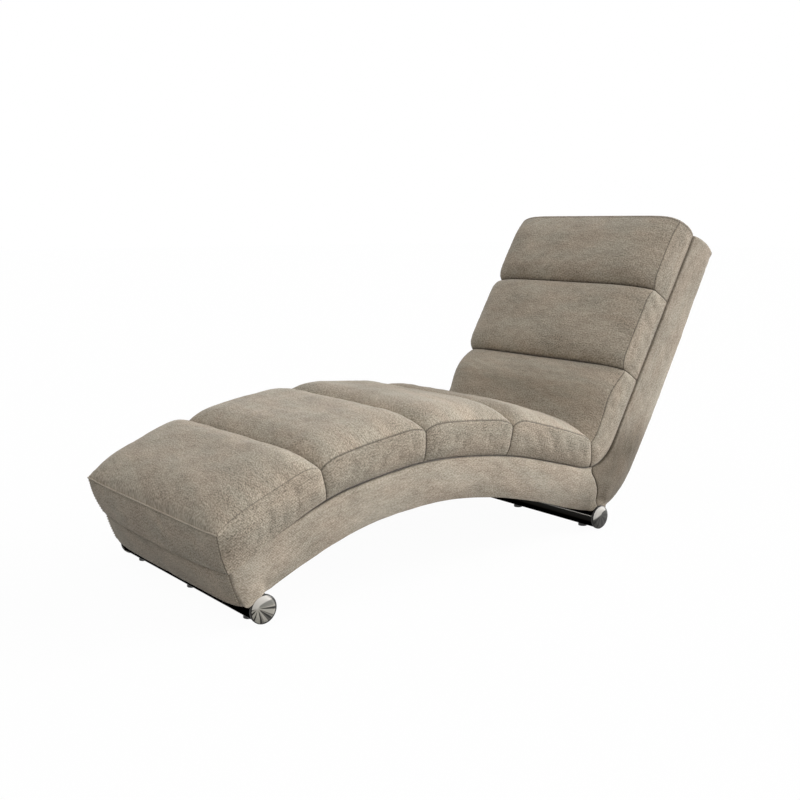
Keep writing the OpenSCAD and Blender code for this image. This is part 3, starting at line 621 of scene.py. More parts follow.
class Cushion:
    """The analytic form of cushion i: t runs along the lounger, from its lower groove to its upper one."""

    def __init__(self, i):
        self.i = i
        self.g0, self.g1 = GROOVE_SHARES[i], GROOVE_SHARES[i + 1]
        self.length = (self.g1 - self.g0) * deck_len
        self.full = BOX_H * BOX_SHARES[i]
        self.foot_x = FRAME_HALF - 0.5

    def share(self, t):
        """Share of the deck line's length at t."""
        return self.g0 + (self.g1 - self.g0) * t

    def ends(self, t):
        """Distances from both ends."""
        return t * self.length, (1 - t) * self.length

    def inside(self, t, reach):
        """0 at the grooves, 1 from the given reach; the foot end and the head end are no grooves."""
        d0, d1 = self.ends(t)
        return (rise(d0, reach) if self.i > FOOT else 1) * (rise(d1, reach) if self.i < HEAD else 1)

    def heights(self, t):
        """Seam height, crown and half width at t."""
        i = self.i
        d0, d1 = self.ends(t)
        roll = end_roll(i, i, d0, end_reach(i)) * end_roll(i, i + 1, d1, end_reach(i + 1))
        low = np.where(t < 0.5, end_height(i), end_height(i + 1))
        height = low + (self.full - low) * roll
        low_crown = np.where(t < 0.5, end_crown(i), end_crown(i + 1))
        crown = low_crown + ((CROWN_H - low_crown) * end_roll(i, i, d0, CROWN_LEN)
                             * end_roll(i, i + 1, d1, CROWN_LEN))
        corner = HEAD_ROUND * (1 - rise(d1, 2 * HEAD_ROUND)) if i == HEAD else 0
        half = (FRAME_HALF + CUSHION_PROUD * PROUD_SHARES[i]
                - GROOVE_DRAW * (1 - self.inside(t, GROOVE_PULL)) - corner)
        return height, crown, half

    def end_bulge(self, t):
        """Bulge of the outer end faces, fading into the cushion."""
        d0, d1 = self.ends(t)
        if self.i == FOOT:
            return -FOOT_BULGE * np.exp(-d0 / END_REACH)
        return HEAD_BULGE * np.exp(-d1 / END_REACH) if self.i == HEAD else 0 * t

    def place(self, t, x, height, grow):
        """Points in space from places along the cushion, across it and over the deck line."""
        i = self.i
        d0, d1 = self.ends(t)
        out = unit((1 - t)[..., None] * stand(i) + t[..., None] * stand(i + 1))
        gap = np.where(t == 0, SOFT_GAP / 2, np.where(t == 1, -SOFT_GAP / 2, 0))
        level = np.clip(height / self.heights(t)[0], 0, 1)
        push = gap + self.end_bulge(t) * 4 * level * (1 - level) * grow
        if i == HEAD:
            push = push + (HEAD_BOW * np.exp(-d1 / HEAD_BOW_REACH) * level ** 2
                           * np.maximum(0, 1 - np.abs(x / FRAME_HALF) ** 10))
        q = deck(self.share(t)) + height[..., None] * out + push[..., None] * right_of(out)
        if i == FOOT:
            rim = np.maximum(near(np.maximum(FRAME_HALF - np.abs(x), 0), SKIRT_RIM), near(d0, SKIRT_END))
            q[..., 1] -= sag(q[..., 0]) * (1 - level) ** 1.5 * rim
        return np.concatenate([x[..., None], q], -1)

    def side_x(self, t, s, sign=1):
        """Half width at t and at the share s of the side's height: swollen, and tucked in on the frame."""
        height, _, half = self.heights(t)
        d0, _ = self.ends(t)
        marked = settled(deck(self.share(t))[..., 0])
        soft = 5.6 * s ** 1.6 * (1 - s)
        even = 1 - np.abs(2 * s - 1) ** 2.4
        swell = (SIDE_BULGE * PROUD_SHARES[self.i] * (soft + (even - soft) * marked)
                 * self.inside(t, SIDE_ROLL))
        foot_x = self.foot_x
        if self.i == FOOT:
            swell = (swell + FOOT_SWELL * np.exp(-d0 / SWELL_REACH) * soft) * ease(d0, WRAP - 5)
            foot_x = foot_x + WRAP_OUT * (1 - marked) * ease(d0, WRAP)
            if sign < 0:
                swell = swell + FAR_SWELL * np.exp(-d0 / FAR_REACH) * 4 * s * (1 - s)
        tuck = sum(depth * (1 - form(s * height, reach)) for depth, form, reach in TUCKS) * marked
        return foot_x + (half - foot_x) * s + swell - tuck * (0.5 if self.i >= LUMBAR else 1.0)


def seam_look(i):
    """Width and darkness of the seam round cushion i's top panel."""
    return (0.7, 0.7) if i == FOOT else (2.0, 1.0) if i < LUMBAR else (1.2, 1.0)


def stitched(c, p, t, seam_d, sign):
    """Points drawn in along the seam between top and sides, with small puckers beside it."""
    place = over(c.share(t) * deck_len, p[..., 0]), 0 * p[..., 0] + 40 * sign
    inward = np.zeros(p.shape)
    inward[..., 0] = -0.75 * sign
    inward[..., 1:] = -0.66 * deck_out(c.share(t))
    depth = (1.4 if c.i == FOOT else 2.2) + 0.6 * wave(40 + c.i, 16, *place)
    p = p + (depth * near(seam_d, CREASE_W))[..., None] * inward
    return p + (PUCKER * wave(49 + c.i, 11, *place) * np.exp(-seam_d / PUCKER_REACH))[..., None] * inward


def top_patch(c, t, a, groove_mark):
    """Top panel: crowned, slightly uneven, closed off by its seams; a runs across it from -1 to 1."""
    i = c.i
    height, crown, half = c.heights(t)
    run, left_over = c.ends(t)
    x = a * half
    square = SQUARE_CORNER if i == LUMBAR else ROUND_CORNER
    if i == HEAD:
        square = square + SQUARE_CORNER * np.exp(-left_over / 30)
    uneven = 0.9 * wave(60 + i, 85, x, over(run, x)) + 0.35 * wave(61 + i, 30, x, over(run, x))
    free = (1 - np.abs(a) ** 8) * rise(run, 30) * rise(left_over, 30)
    p = c.place(over(t, x), x, height + crown * (1 - np.abs(a) ** square) + uneven * free, 1.0)
    seam_d = half * (1 - np.abs(a)) * 1.15
    width, dark = seam_look(i)
    mark = np.maximum(dark * near(seam_d, width), over(groove_mark, x))
    weave = np.stack([x + UV_STEP * i, over(run * 1.1, x)], -1)
    return stitched(c, p, t, seam_d, np.sign(p[..., 0])), weave, mark


def side_patch(c, t, s, sign, groove_mark):
    """Side panel, from the frame (s 0) to the top seam (s 1)."""
    height, _, _ = c.heights(t)
    run, left_over = c.ends(t)
    x = sign * c.side_x(t, s, sign)
    up = height * s + 0 * x
    uneven = 0.8 * wave(71 + c.i + sign, 45, over(run, x), up)
    free = 4 * s * (1 - s) * rise(run, 20) * rise(left_over, 20)
    seam_d = height * (1 - s)
    p = stitched(c, c.place(over(t, x), x + sign * uneven * free, up, 0.45), t, seam_d, sign)
    weave = np.stack([over(run, x) + UV_STEP * c.i, up + 300 * sign], -1)
    width, dark = seam_look(c.i)
    foot_mark = (0.55 if c.i >= LUMBAR else 0.95) * near(up, 1.8) * settled(p[..., 1])
    return p, weave, np.maximum(np.maximum(dark * near(seam_d, width), foot_mark), over(groove_mark, x))


def end_patch(c, end, edges, s, a):
    """Panel that closes a cushion at one end; edges are its left, right, upper and lower border."""
    i = c.i
    left, right, upper, lower = (edge[end] for edge in edges)
    v = s[0][:, None, None]
    k = ((a[0] + 1) / 2)[None, :, None]
    p = ((1 - v) * lower[None] + v * upper[None] + (1 - k) * left[:, None] + k * right[:, None]
         - ((1 - v) * (1 - k) * left[0] + (1 - v) * k * right[0] + v * (1 - k) * left[-1] + v * k * right[-1]))
    level = v[..., 0] + 0 * a
    mark = 0.8
    if (i, end) in ((FOOT, 0), (HEAD, -1)):
        if i == FOOT:
            lift = (front_bulge(FRAME_SHARE + (1 - FRAME_SHARE) * level, a)
                    - front_bulge(FRAME_SHARE, a) * (1 - level)
                    - 0.45 * FOOT_BULGE * 4 * level * (1 - level) * (1 - np.abs(a) ** 2.5))
            outward = -right_of(stand(0))
        else:
            lift = 0.4 * HEAD_BULGE * 4 * level * (1 - level) * (1 - np.abs(a) ** 3)
            outward = right_of(stand(LAST_GROOVE))
        p[..., 1:] += lift[..., None] * outward
        mark = np.maximum(near(FRAME_HALF * (1 - np.abs(a)) + 0 * level, 2.0), 0.12 * near(EAR_H * level, 2.0))
    weave = np.stack([over(a * FRAME_HALF + UV_STEP * i, level), EAR_H * level - 150], -1)
    return p, weave, mark


def build_cushion(i):
    """Cover of cushion i, sewn from its top, sides, underside and ends."""
    c = Cushion(i)
    t = spread(ROWS, 0.65)[:, None]
    a = (2 * spread(COLS, 0.7) - 1)[None, :]
    s = spread(SIDES, 0.6)[None, :]
    run, left_over = c.ends(t)
    end_d = np.minimum(run if i > FOOT else NO_END, left_over if i < HEAD else NO_END)
    groove_mark = 0.8 * near(end_d, 2.2)
    if i == HEAD:
        groove_mark = np.maximum(groove_mark, 0.8 * near(left_over - HEAD_SEAM, 1.6))
    top = top_patch(c, t, a, groove_mark)
    left, right = (side_patch(c, t, s, sign, groove_mark) for sign, _ in HANDS)

    base_x = a * c.side_x(t, 0 * t)
    base = c.place(over(t, base_x), base_x, 0 * base_x, 0.0)
    if i == FOOT:
        base[..., 1:] -= (front_bulge(FRAME_SHARE, a) * np.exp(-run / 25))[..., None] * right_of(foot_dir)
    base[:, 0], base[:, -1] = left[0][:, 0], right[0][:, 0]
    under = (base, np.stack([base_x, over(run, base_x)], -1), 0.8 * settled(base[..., 1]))

    edges = left[0], right[0], top[0], base
    patches = [top, left, right, under] + [end_patch(c, end, edges, s, a) for end in (0, -1)]
    if i == FOOT:
        for sign, tip in ((-1, top[0][0, 0].copy()), (1, top[0][0, -1].copy())):
            for p, _, _ in patches:
                point = EAR_POINT * near(np.linalg.norm(p - tip, axis=-1), EAR_POINT_REACH)
                p += point[..., None] * np.array([0.7 * sign, -0.7, 0.1])
        foot_lines["seam"] = top[0][0].copy()
        foot_lines["face"] = patches[-2][0].copy()
    obj = sew(CUSHIONS[i] + "_cushion_cover", patches, cushion_cloth)
    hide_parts(CUSHIONS[i] + "_cushion")
    return obj


foot_lines = {}                      # the foot cushion's top seam and end face, for the welt and the stitches
frame_front = (FOOT_TOP_H - FOOT_BASE_H) / math.cos(end_rake)
FRAME_SHARE = frame_front / (frame_front + EAR_H)
covers = [build_cushion(i) for i in range(len(CUSHIONS))]


# ---------------------------------------------------------------- the cushions fill out (cloth simulation)
TRAVEL = 1.3                 # the most that the cloth moves
FRAMES = 20
VOXEL = 0.009                # grid of the coarse copy, in metres
HELD_AT_SEAM = (3, 20)       # the cloth is held this close to a seam, and less and less over the next stretch
HELD_AT_DECK = (8, 16)       # the same for the underside
MARKED = 0.35                # a point belongs to a seam from this strength


def line_distance(points, path):
    """Distance of each point from a path."""
    best = np.full(points.shape[:-1], 1e9)
    for p, q in zip(path[:-1], path[1:]):
        d = q - p
        k = np.clip(((points - p) @ d) / (d @ d), 0, 1)
        best = np.minimum(best, np.linalg.norm(points - p - k[..., None] * d, axis=-1))
    return best


def table_of(mesh):
    """Places of a mesh's points."""
    flat = np.empty(len(mesh.vertices) * 3)
    mesh.vertices.foreach_get("co", flat)
    return flat.reshape(-1, 3)


def tree_of(points):
    """Search tree for the nearest of the points."""
    tree = KDTree(len(points))
    for k, point in enumerate(points):
        tree.insert(point, k)
    tree.balance()
    return tree


def held(points, seams):
    """1 at seams and on the underside, 0 where the cloth is free."""
    flat = points[:, 1:] * 1000 + np.array([MIDDLE_Y, 0])
    from_deck = line_distance(flat, deck_path[::6])
    from_seam = np.array([seams.find(point)[2] for point in points]) * 1000
    seam, deck_side = (1 - (distance - close) / reach for distance, (close, reach)
                       in ((from_seam, HELD_AT_SEAM), (from_deck, HELD_AT_DECK)))
    return np.clip(np.maximum(seam, deck_side), 0, 1)


def coarse_copy(obj, seams):
    """Coarse copy of a cover that the simulation presses out, and where its points are at rest."""
    coarse = link(obj.name + "_settling", obj.data.copy())
    remesh = coarse.modifiers.new("remesh", "REMESH")
    remesh.mode, remesh.voxel_size = "VOXEL", VOXEL
    bpy.context.view_layer.update()
    made = bpy.data.meshes.new_from_object(coarse.evaluated_get(bpy.context.evaluated_depsgraph_get()))
    coarse.modifiers.clear()
    coarse.data = made
    rest = table_of(made)
    group = coarse.vertex_groups.new(name="held")
    for k, weight in enumerate(held(rest, seams)):
        group.add([k], float(weight), "REPLACE")
    cloth = coarse.modifiers.new("cloth", "CLOTH")
    cloth.point_cache.frame_start, cloth.point_cache.frame_end = 1, FRAMES
    for key, value in {"quality": 5, "mass": 0.3, "tension_stiffness": 20, "compression_stiffness": 20,
                       "shear_stiffness": 10, "bending_stiffness": 1.5, "shrink_min": -0.01,
                       "use_pressure": True, "uniform_pressure_force": 4,
                       "vertex_group_mass": "held"}.items():
        setattr(cloth.settings, key, value)
    cloth.settings.effector_weights.gravity = 0
    cloth.collision_settings.use_collision = False
    return coarse, rest


def settle(pieces):
    """Presses each cover out by its filling, held at its seams and its underside. The cover follows a coarse
    copy, by no more than TRAVEL millimetres."""
    copies = []
    for obj in pieces:
        fine = table_of(obj.data)
        mark = np.empty(len(fine))
        obj.data.attributes["seam"].data.foreach_get("value", mark)
        seams = tree_of(fine[mark > MARKED])
        copies.append((obj, fine, seams) + coarse_copy(obj, seams))
    for frame_number in range(1, FRAMES + 1):
        bpy.context.scene.frame_set(frame_number)
    world = bpy.context.evaluated_depsgraph_get()
    for obj, fine, seams, coarse, rest in copies:
        moved = table_of(coarse.evaluated_get(world).to_mesh()) - rest
        size = np.linalg.norm(moved, axis=1, keepdims=True) * 1000
        moved = moved * TRAVEL / np.sqrt(TRAVEL ** 2 + size ** 2)
        tree = tree_of(rest)
        follow = np.zeros(fine.shape)
        for k, point in enumerate(fine):
            near_by = tree.find_n(point, 4)
            pull = [1 / (distance + 0.001) ** 2 for _, _, distance in near_by]
            follow[k] = sum(w * moved[n] for w, (_, n, _) in zip(pull, near_by)) / sum(pull)
        fine = fine + follow * (1 - held(fine, seams))[:, None]
        obj.data.vertices.foreach_set("co", fine.reshape(-1))
        obj.data.update()
        bpy.data.objects.remove(coarse)
    bpy.context.scene.frame_set(1)


settle(covers)


# ---------------------------------------------------------------- padded frame covers
EDGE_IN = 3.0                # frame's lower and rear edges inside its width
HIGH_EDGE_OUT = 1.5          # further out again, high up the back
LOW_EDGE_IN = 5.8            # and further in at the low rear corner
COVER_SWELL = 5.5            # a side cover's padding outside the frame's width
LOW_SWELL = 3.0              # and how much more at the low rear corner
EDGE_ROLL, LOW_ROLL = 42.0, 26.0                     # width of its rolled lower edge, and the same
UPPER_TUCKS = ((6.0, ease, 36.0), (2.5, rise, 7.0))  # how it draws in under the cushions
SEAM_TUCK, FOOT_TUCK, TUCK_REACH = 2.0, 3.0, 7.0     # and at its end seams
SEAM_Y = TUBE_SPAN - 5.0     # foot of the seam between the base's cover and the back's
SEAM_BEND = [(-4, 104), (-17, 141), (-28, 160)]      # the seam's way up from there
FOOT_ROUND = 8.0             # round lower corner of the foot end
TOE_LIFT = 3.0               # the side covers' lower edge rises in front of the tube
FRONT_COLLAR, REAR_COLLAR = 309.5, 303.0             # half width of the cloth around the tubes' caps
FRONT_NEAR, REAR_NEAR = 24.0, 12.0                   # and how far around them
CAP_T = 1.6                  # the cloth around the caps is this thin
INNER_OUT = 0.3               # a side cover's inner face stands this much outside the boards
FADE_SEAM = (1015, 1075)     # where the side cover's upper seam softens, in the corner
FOOT_BOW, TOP_BOW = 6.0, 13.0                        # the foot end's side edges and the top bow outward


def coons(lower, upper, left, right, u, v):
    """Grid between four edges: lower and upper run along u, left and right along v."""
    b, t = resample(lower, u), resample(upper, u)
    l, r = resample(left, v), resample(right, v)
    U, V = u[None, :, None], v[:, None, None]
    return ((1 - V) * b[None] + V * t[None] + (1 - U) * l[:, None] + U * r[:, None]
            - ((1 - U) * (1 - V) * b[0] + U * (1 - V) * b[-1] + (1 - U) * V * t[0] + U * V * t[-1]))


def over_tube(path):
    """The path, lifted over the rear tube's caps."""
    lift = AXLE_H + np.sqrt(np.maximum((CAP_R - 1.0) ** 2 - (path[:, 0] - TUBE_SPAN) ** 2, 1.0))
    up = (path[:, 1] ** 14 + lift ** 14) ** (1 / 14)
    return np.stack([path[:, 0], np.where(np.abs(path[:, 0] - TUBE_SPAN) < CAP_R - 1.1, up, path[:, 1])], -1)


seam_top = deck(GROOVE_SHARES[CORNER_GROOVE])
foot_round = bend(foot_bottom + FOOT_ROUND * foot_dir, foot_bottom, foot_bottom + (FOOT_ROUND, 0), 8)
floor_line = np.concatenate([arch_path[1:], rear_bend[1:]])
fine_line = resample(floor_line, np.linspace(0, 1, 500))
split = int(np.argmin(np.hypot(*(fine_line - [SEAM_Y, REAR_BASE_H]).T)))
under_base = over_tube(np.concatenate([foot_round, fine_line[:split]]))
seam_path = smooth([tuple(under_base[-1])] + [(SEAM_Y + y, z) for y, z in SEAM_BEND] + [tuple(seam_top)], 8)
under_base[:, 1] += TOE_LIFT * fade(under_base[:, 0], -44, -24) * fade(-under_base[:, 0], -30, -5)
deck_base = np.concatenate([deck_path[deck_path[:, 0] < seam_top[0]], [seam_top]])
deck_base = deck_base[: int(np.argmin(np.linalg.norm(deck_base - seam_top, axis=1))) + 1]
deck_base[:, 1] -= sag(deck_base[:, 0])
skirt_line = deck_path[0] - sag(deck_path[0][0]) / foot_dir[1] * foot_dir
deck_base[0] = skirt_line
foot_middle = (foot_round[0] + skirt_line) / 2
foot_edge = bend(foot_round[0], foot_middle - FOOT_BOW * right_of(foot_dir), skirt_line, 10)
top_bulge = bend(rear_top, (rear_top + deck_top) / 2 + TOP_BOW * rear_dir, deck_top, 12)
rear_straight = resample(np.array([fine_line[-1], rear_top]), np.linspace(0, 1, 40))
rear_edge = over_tube(np.concatenate([fine_line[split - 1:], rear_straight[1:]]))
start = int(np.argmin(np.linalg.norm(deck_path - seam_top, axis=1)))
deck_back = np.concatenate([[seam_top], deck_path[start + 1:]])


def low_corner(points):
    """How far a place belongs to the low rear corner, where the covers roll under the most."""
    return fade(points[..., 0], 620, 1000) * fade(-points[..., 1], -330, -130)


def cover_edge(points):
    """Half width of the frame at its lower and rear edges."""
    return (FRAME_HALF - EDGE_IN + HIGH_EDGE_OUT * fade(points[..., 1], 250, 450)
            - LOW_EDGE_IN * low_corner(points))


def shell(outer, inner, weave, seam):
    """Patches of a cover: its outer face, its inner face and the four narrow edges between them."""
    patches = [(outer, weave, seam), (inner, weave, 0.0)]
    for cut in (np.s_[0, :], np.s_[-1, :], np.s_[:, 0], np.s_[:, -1]):
        patches.append((np.stack([outer[cut], inner[cut]]), np.stack([weave[cut], weave[cut] + 5]),
                        np.stack([seam[cut], seam[cut]])))
    return patches


def cover_patches(lower, upper, left, right, sign, seed):
    """One padded side panel: a swollen outer face with rolled edges, and a flat inner face."""
    at_foot = left is foot_edge
    u, v = spread(181, 0.35), spread(41, 0.6)
    q = coons(lower, upper, left, right, u, v)
    y, z = q[..., 0], q[..., 1]
    d_low, d_up = line_distance(q, lower[::2]), line_distance(q, upper[::3])
    d_left, d_right = line_distance(q, left), line_distance(q, right)
    tube = np.minimum(np.hypot(y, z - AXLE_H), np.hypot(y - TUBE_SPAN, z - AXLE_H))
    collar = near(np.maximum(tube - CAP_R, 0), FRONT_NEAR) * fade(-y, -14, 10)
    hug = near(np.maximum(tube - CAP_R, 0), REAR_NEAR) * (y > TUBE_SPAN / 2)
    corner = low_corner(q)
    soft = 0.6 * fade(y, *FADE_SEAM)
    full = FRAME_HALF + COVER_SWELL + LOW_SWELL * corner
    x = full - (full - cover_edge(q)) * (1 - ease(d_low, EDGE_ROLL + LOW_ROLL * corner)) * (1 - collar)
    tuck = sum(depth * (1 - form(d_up, reach)) for depth, form, reach in UPPER_TUCKS)
    x = x - tuck * settled(y) * (1 - soft)
    x = x - (FOOT_TUCK if at_foot else SEAM_TUCK) * (1 - rise(d_left, TUCK_REACH))
    x = x - SEAM_TUCK * (1 - rise(d_right, TUCK_REACH))
    if at_foot:
        x = x - WRAP_OUT * (1 - ease(d_left, WRAP)) * (1 - collar)
    x = x + collar * np.maximum(0, FRONT_COLLAR - x) + hug * np.maximum(0, REAR_COLLAR - x)
    x = x + 0.7 * wave(seed, 70, y, z) + 0.3 * wave(seed + 1, 24, y, z)
    x = np.maximum(x, FRAME_HALF - COVER_T + 3 * INNER_OUT)
    at_tube = (tube < CAP_R + 1) | (y < 0) & (tube < CAP_R + 6)
    inner_x = np.where(at_tube, x - CAP_T, FRAME_HALF - COVER_T + INNER_OUT)
    weave = np.stack([over(along(resample(lower, u))[None, :], x), d_low + 500], -1)
    seam = np.maximum((0.95 - soft) * near(d_up, 1.6) * settled(y), 0.7 * near(d_right, 1.0))
    seam = np.maximum(seam, (0.45 if at_foot else 0.7) * near(d_left, 1.3))
    return shell(np.stack([sign * x, y, z], -1), np.stack([sign * inner_x, y, z], -1), weave, seam)


def base_tone(p):
    """Painted shade: darker cloth at the base's rear bottom."""
    return 0.7 * fade(p[..., 1], 900, 1070) * fade(-p[..., 2], -140, -60)


def back_tone(p):
    """Painted shade: darker cloth at the foot of the back."""
    return fade(-p[..., 2], -330, -190)


def dress(name, patches, node_name, cloth=frame_cloth, tone=None):
    """A padded cover that stands for one node of the part."""
    obj = sew(name, patches, cloth, tone)
    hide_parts(node_name)


for sign, hand in HANDS:         # the last numbers seed the covers' small unevenness
    dress("base_side_" + hand, cover_patches(under_base, deck_base, foot_edge, seam_path, sign, 200 + sign),
          "base_side_cover_" + hand, tone=base_tone)
    dress("back_side_" + hand, cover_patches(rear_edge, deck_back, seam_path, top_bulge, sign, 210 + sign),
          "back_side_cover_" + hand, tone=back_tone)


PANEL_T, UNDER_T = 7.5, 6.0
PANEL_GAP = 1.0              # between a panel's sides and the side covers' edge
PANEL_ROUND = (40.0, 35.0)   # a panel swells over this length from its sides and from its ends
PANEL_TUCK, PANEL_REACH = 3.0, 5.0                   # and is drawn in at its sides
ROLL_FALL = 0.7              # an end falls by this share of the length that it rolls over
PANEL_UNEVEN = 0.5
CORNER_SWELL = 3.0           # forward swell of the frame's front next to its sides
TOE_SWELL = 10.0             # and of its lower edge


def panel(path, thick, swell, seed, roll_ends, half=None, sink=0.0, extra=None, first_seam=1.0):
    """Outer face, inner face, weave and seams of a padded panel between the side covers, along a path in
    the side view. roll_ends are how far its two ends roll in, sink lays it deeper, extra swells it by place,
    and first_seam is how marked its first seam is."""
    v = spread(41, 0.5)
    a = 2 * spread(81, 0.75) - 1
    q = resample(path, v)
    out = right_of(unit(np.gradient(q, axis=0)))
    run = along(q)
    half = (cover_edge(q) - PANEL_GAP if half is None else half + 0 * q[:, 0])[:, None]
    side_d = half * (1 - np.abs(a))[None, :]
    d0, d1 = run[:, None], (run[-1] - run)[:, None]
    puff = (swell * rise(side_d, PANEL_ROUND[0]) * rise(np.minimum(d0, d1), PANEL_ROUND[1]) - sink
            - PANEL_TUCK * (1 - rise(side_d, PANEL_REACH)))
    for roll, distance in zip(roll_ends, (d0, d1)):
        puff = puff - ROLL_FALL * roll * (1 - rise(distance, roll))
    grid_x = half * a[None, :]
    if extra:
        puff = puff + extra(q[:, None, :], a[None, :])
    puff = puff + PANEL_UNEVEN * wave(seed, 80, grid_x, over(run[:, None], puff)) * rise(side_d, 20)

    def lay(depth):
        p = q[:, None, :] + depth[..., None] * out[:, None, :]
        return np.concatenate([grid_x[..., None], p], -1)

    weave = np.stack([grid_x + 2000, over(run[:, None], puff)], -1)
    ends = np.maximum(first_seam * near(d0, 1.5), near(d1, 1.5))
    seam = np.maximum(first_seam ** 0.4 * near(side_d, 1.6), ends)
    return lay(puff), lay(0 * puff - thick), weave, seam


def front_swell(q, a):
    """Forward swell of the frame's front, which the cushion above it continues."""
    share = np.clip((q[..., 1] - FOOT_BASE_H) / (FOOT_TOP_H - FOOT_BASE_H), 0, 1)
    return (front_bulge(share * FRAME_SHARE, a) + CORNER_SWELL * 4 * share * (1 - share) * np.abs(a) ** 2.5
            + TOE_SWELL * (1 - share) ** 1.5 * fade(-q[..., 0], 14, 30) * (1 - np.abs(a) ** 10))


front_path = np.concatenate([[skirt_line + 4 * foot_dir], foot_round, [foot_bottom + (30, 0)]])
front_panel = panel(front_path, PANEL_T, 0.0, 301, (6, 8), FRAME_HALF - EDGE_IN,
                    extra=front_swell, first_seam=0.08)
dress("foot_end_panel", shell(*front_panel), "foot_end_cover", cushion_cloth)
rear_path = np.concatenate([rear_bend[3:], [rear_top]])
dress("rear_panel", shell(*panel(rear_path, PANEL_T, 1.5, 302, (5, 3))), "rear_cover")
dress("top_panel", shell(*panel(top_bulge, PANEL_T, 0.5, 303, (4, 4))), "top_cover")
under_path = arch_path[(arch_path[:, 0] > 100) & (arch_path[:, 0] < TUBE_SPAN - 61)]
dress("underside_panel", shell(*panel(under_path, UNDER_T, 0.0, 304, (2, 2), FRAME_HALF - COVER_T, sink=7.0)),
      "underside_cover")


# ---------------------------------------------------------------- welt and stitches
WELT_R = 2.0
WELT_AT = np.array([0, -0.9, 0.5])                   # its middle, from the seam
STITCH_R = 1.1
STITCH_LEN, STITCH_STEP = 4.5, 7.0
STITCH_START, STITCH_END = 6.0, 4.0                  # free lengths of its line at both ends of a row
STITCH_OUT, STITCH_DIVE = 1.3, 1.5                   # a stitch's middle stands out and its ends dive in
CORNER_IN, LOWER_IN = 5.0, 7.0                       # rows of stitches inside the front's side edges


def cord_along(name, path, radius, sides, material, ends):
    """A round cord along a path in space; ends are the share of its radius that is left at both ends."""
    tangent = unit(np.gradient(path, axis=0))
    side = unit(np.cross(tangent, np.array([0.0, 0.3, 1.0])))
    up = np.cross(side, tangent)
    angle = np.linspace(0, 2 * math.pi, sides + 1)[None, :, None]
    size = np.full(len(path), radius)
    size[0] = size[-1] = radius * ends
    ring = path[:, None] + size[:, None, None] * (np.cos(angle) * side[:, None] + np.sin(angle) * up[:, None])
    ring[:, -1] = ring[:, 0]
    round_it = np.linspace(0, 2 * math.pi * radius, sides + 1)[None, :]
    weave = np.stack(np.broadcast_arrays(along(path)[:, None], round_it), -1)
    patches = [(ring, weave, 0.0)]
    for end in (0, -1):
        cap = np.stack([ring[end], over(path[end], ring[end])])
        patches.append((cap, np.broadcast_to(weave[end], cap.shape[:2] + (2,)), 0.0))
    return sew(name, patches, material)


cord_along("foot_seam_welt", foot_lines["seam"] + WELT_AT, WELT_R, 8, frame_cloth, 0.4)


def stitch_row(name, line):
    """Short stitches that lie on the front along a line, in one piece."""
    run = along(line)
    made = []
    place = STITCH_START
    arch = STITCH_OUT - STITCH_DIVE * np.linspace(-1, 1, 5) ** 4
    while place + STITCH_LEN < run[-1] - STITCH_END:
        share = np.linspace(place, place + STITCH_LEN, 5)
        points = np.stack([np.interp(share, run, line[:, k]) for k in range(3)], -1)
        points = points + np.array([0, -1.0, 0]) * arch[:, None]
        made.append(cord_along(name + "_" + str(len(made)), points, STITCH_R, 6, thread, 0.3))
        place += STITCH_STEP
    for stitch in made[1:]:
        joined = bmesh.new()
        joined.from_mesh(made[0].data)
        joined.from_mesh(stitch.data)
        joined.to_mesh(made[0].data)
        joined.free()
        bpy.data.objects.remove(stitch)
    made[0].name = name


def corner_line(rows, sign, inset, half=None):
    """Line over the rows of a grid, by inset inside their own ends or inside the given half width."""
    line = []
    for row in rows:
        row = row[np.argsort(row[:, 0])]
        x = sign * ((abs(row[-1, 0] if sign > 0 else row[0, 0]) if half is None else half) - inset)
        line.append([x, np.interp(x, row[:, 0], row[:, 1]), np.interp(x, row[:, 0], row[:, 2])])
    return np.array(line)


for sign, hand in HANDS:
    stitch_row("upper_corner_stitches_" + hand, corner_line(foot_lines["face"][::-1], sign, CORNER_IN))
    lower = corner_line(front_panel[0], sign, LOWER_IN, FRAME_HALF)
    stitch_row("lower_corner_stitches_" + hand, lower[lower[:, 2] > FOOT_BASE_H + STITCH_START])


# ---------------------------------------------------------------- floor, light and camera
FLOOR_HALF = 30              # metres
FLOOR_TONE = 0.25            # what the floor gives back to the object
FLOOR_GLOW = 0.968           # and what is seen of it, with the object's shadow on the rest
FLOOR_SHADE = 0.025
SUNS = [  # azimuth from +X towards +Y and height over the floor in degrees, strength, and spread in degrees
    ("key_right", 60, 15, 3.12, 50), ("rear_right", 90, 15, 2.05, 50), ("front_left", -90, 64, 1.1, 50),
    ("high_right", 30, 65, 0.64, 50), ("front_right", -30, 15, 0.9, 50), ("front_low", -60, 15, 0.1, 50),
    ("fill_left", 180, 30, 0.42, 50), ("glint", -128.6, 5, 0.2, 4)]
IMAGE_W = 800                # width of the photograph, in pixels
FOCAL = 1038.9               # focal length that its perspective gives, in pixels
SENSOR_W = 36.0
CAMERA_AT = (2.06605, -1.08581, 0.82578)            # from the front tube's axis, in metres
CAMERA_DOWN, CAMERA_TURN = 9.72, 50.46              # degrees
WHITE = (1, 1, 1, 1)


def seen_white(tree):
    """1 for what the camera sees, directly or mirrored in chrome or through glass."""
    rays = [node(tree, "ShaderNodeLightPath", None, out="Is " + kind + " Ray")
            for kind in ("Camera", "Glossy", "Transmission")]
    return remap(tree, rays[0] + rays[1] + rays[2], 0.0, 1.0)


def grey(tone):
    return (tone, tone, tone, 1)


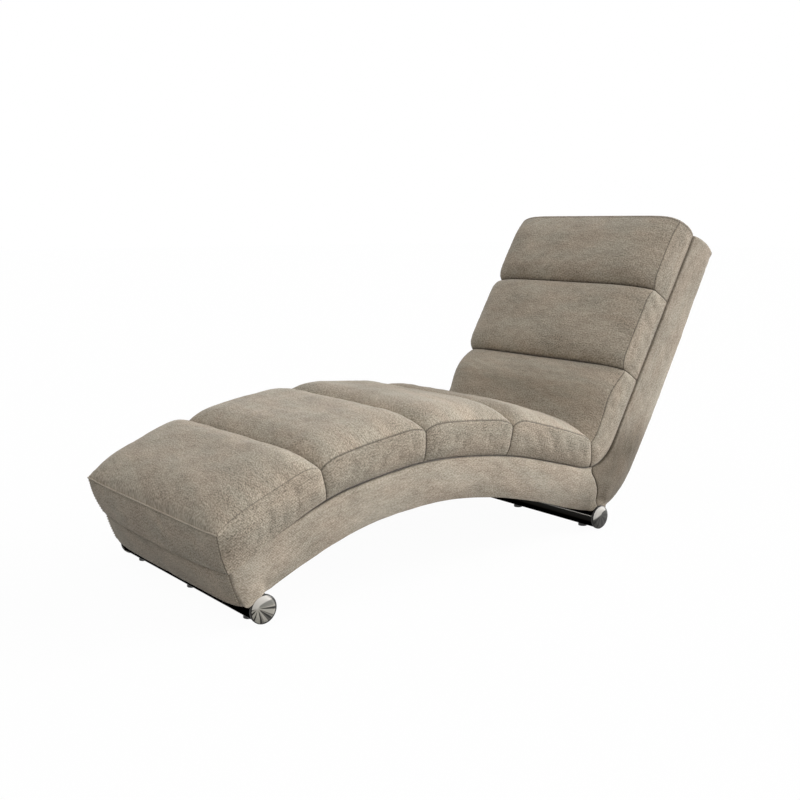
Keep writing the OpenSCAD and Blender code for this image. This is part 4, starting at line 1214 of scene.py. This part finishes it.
floor_mesh = bpy.data.meshes.new("studio_floor")
floor_mesh.from_pydata([(x * FLOOR_HALF, y * FLOOR_HALF, 0) for x, y in ((-1, -1), (1, -1), (1, 1), (-1, 1))],
                       [], [(0, 1, 2, 3)])
floor_paint, floor_tree, floor_shader = blank("white_studio_floor")
feed(floor_tree, floor_shader, Base_Color=grey(FLOOR_TONE), Roughness=1.0, Specular_IOR_Level=0.0)
glow = node(floor_tree, "ShaderNodeEmission", None, WHITE, FLOOR_GLOW)
shade = node(floor_tree, "ShaderNodeBsdfDiffuse", None, grey(FLOOR_SHADE))
seen_floor = node(floor_tree, "ShaderNodeAddShader", None, shade, glow)
floor_look = node(floor_tree, "ShaderNodeMixShader", None, seen_white(floor_tree),
                  Wire(floor_shader.outputs[0]), seen_floor)
floor_tree.links.new(floor_look.socket, floor_tree.nodes["Material Output"].inputs["Surface"])
floor_mesh.materials.append(floor_paint)
link("studio_floor", floor_mesh)

world = bpy.data.worlds.new("studio")
bpy.context.scene.world = world
world.use_nodes = True
sky = world.node_tree
sky.nodes.clear()
backdrop = node(sky, "ShaderNodeBackground", None, WHITE, seen_white(sky))
sky.links.new(backdrop.socket, sky.nodes.new("ShaderNodeOutputWorld").inputs["Surface"])

for name, azimuth, elevation, strength, softness in SUNS:
    lamp = bpy.data.lights.new(name, "SUN")
    lamp.energy = strength
    lamp.angle = math.radians(softness)
    az, el = math.radians(azimuth), math.radians(elevation)
    toward = Vector((math.cos(el) * math.cos(az), math.cos(el) * math.sin(az), math.sin(el)))
    link(name, lamp).rotation_euler = toward.to_track_quat("Z", "Y").to_euler()

camera_data = bpy.data.cameras.new("photo_camera")
camera_data.sensor_width = SENSOR_W
camera_data.lens = FOCAL * SENSOR_W / IMAGE_W
camera_data.clip_end = 100
camera = link("photo_camera", camera_data)
camera.location = (CAMERA_AT[0], CAMERA_AT[1] - MIDDLE_Y * MM, CAMERA_AT[2])
camera.rotation_euler = (math.radians(90 - CAMERA_DOWN), 0, math.radians(CAMERA_TURN))
bpy.context.scene.camera = camera
bpy.context.scene.view_settings.view_transform = "Standard"
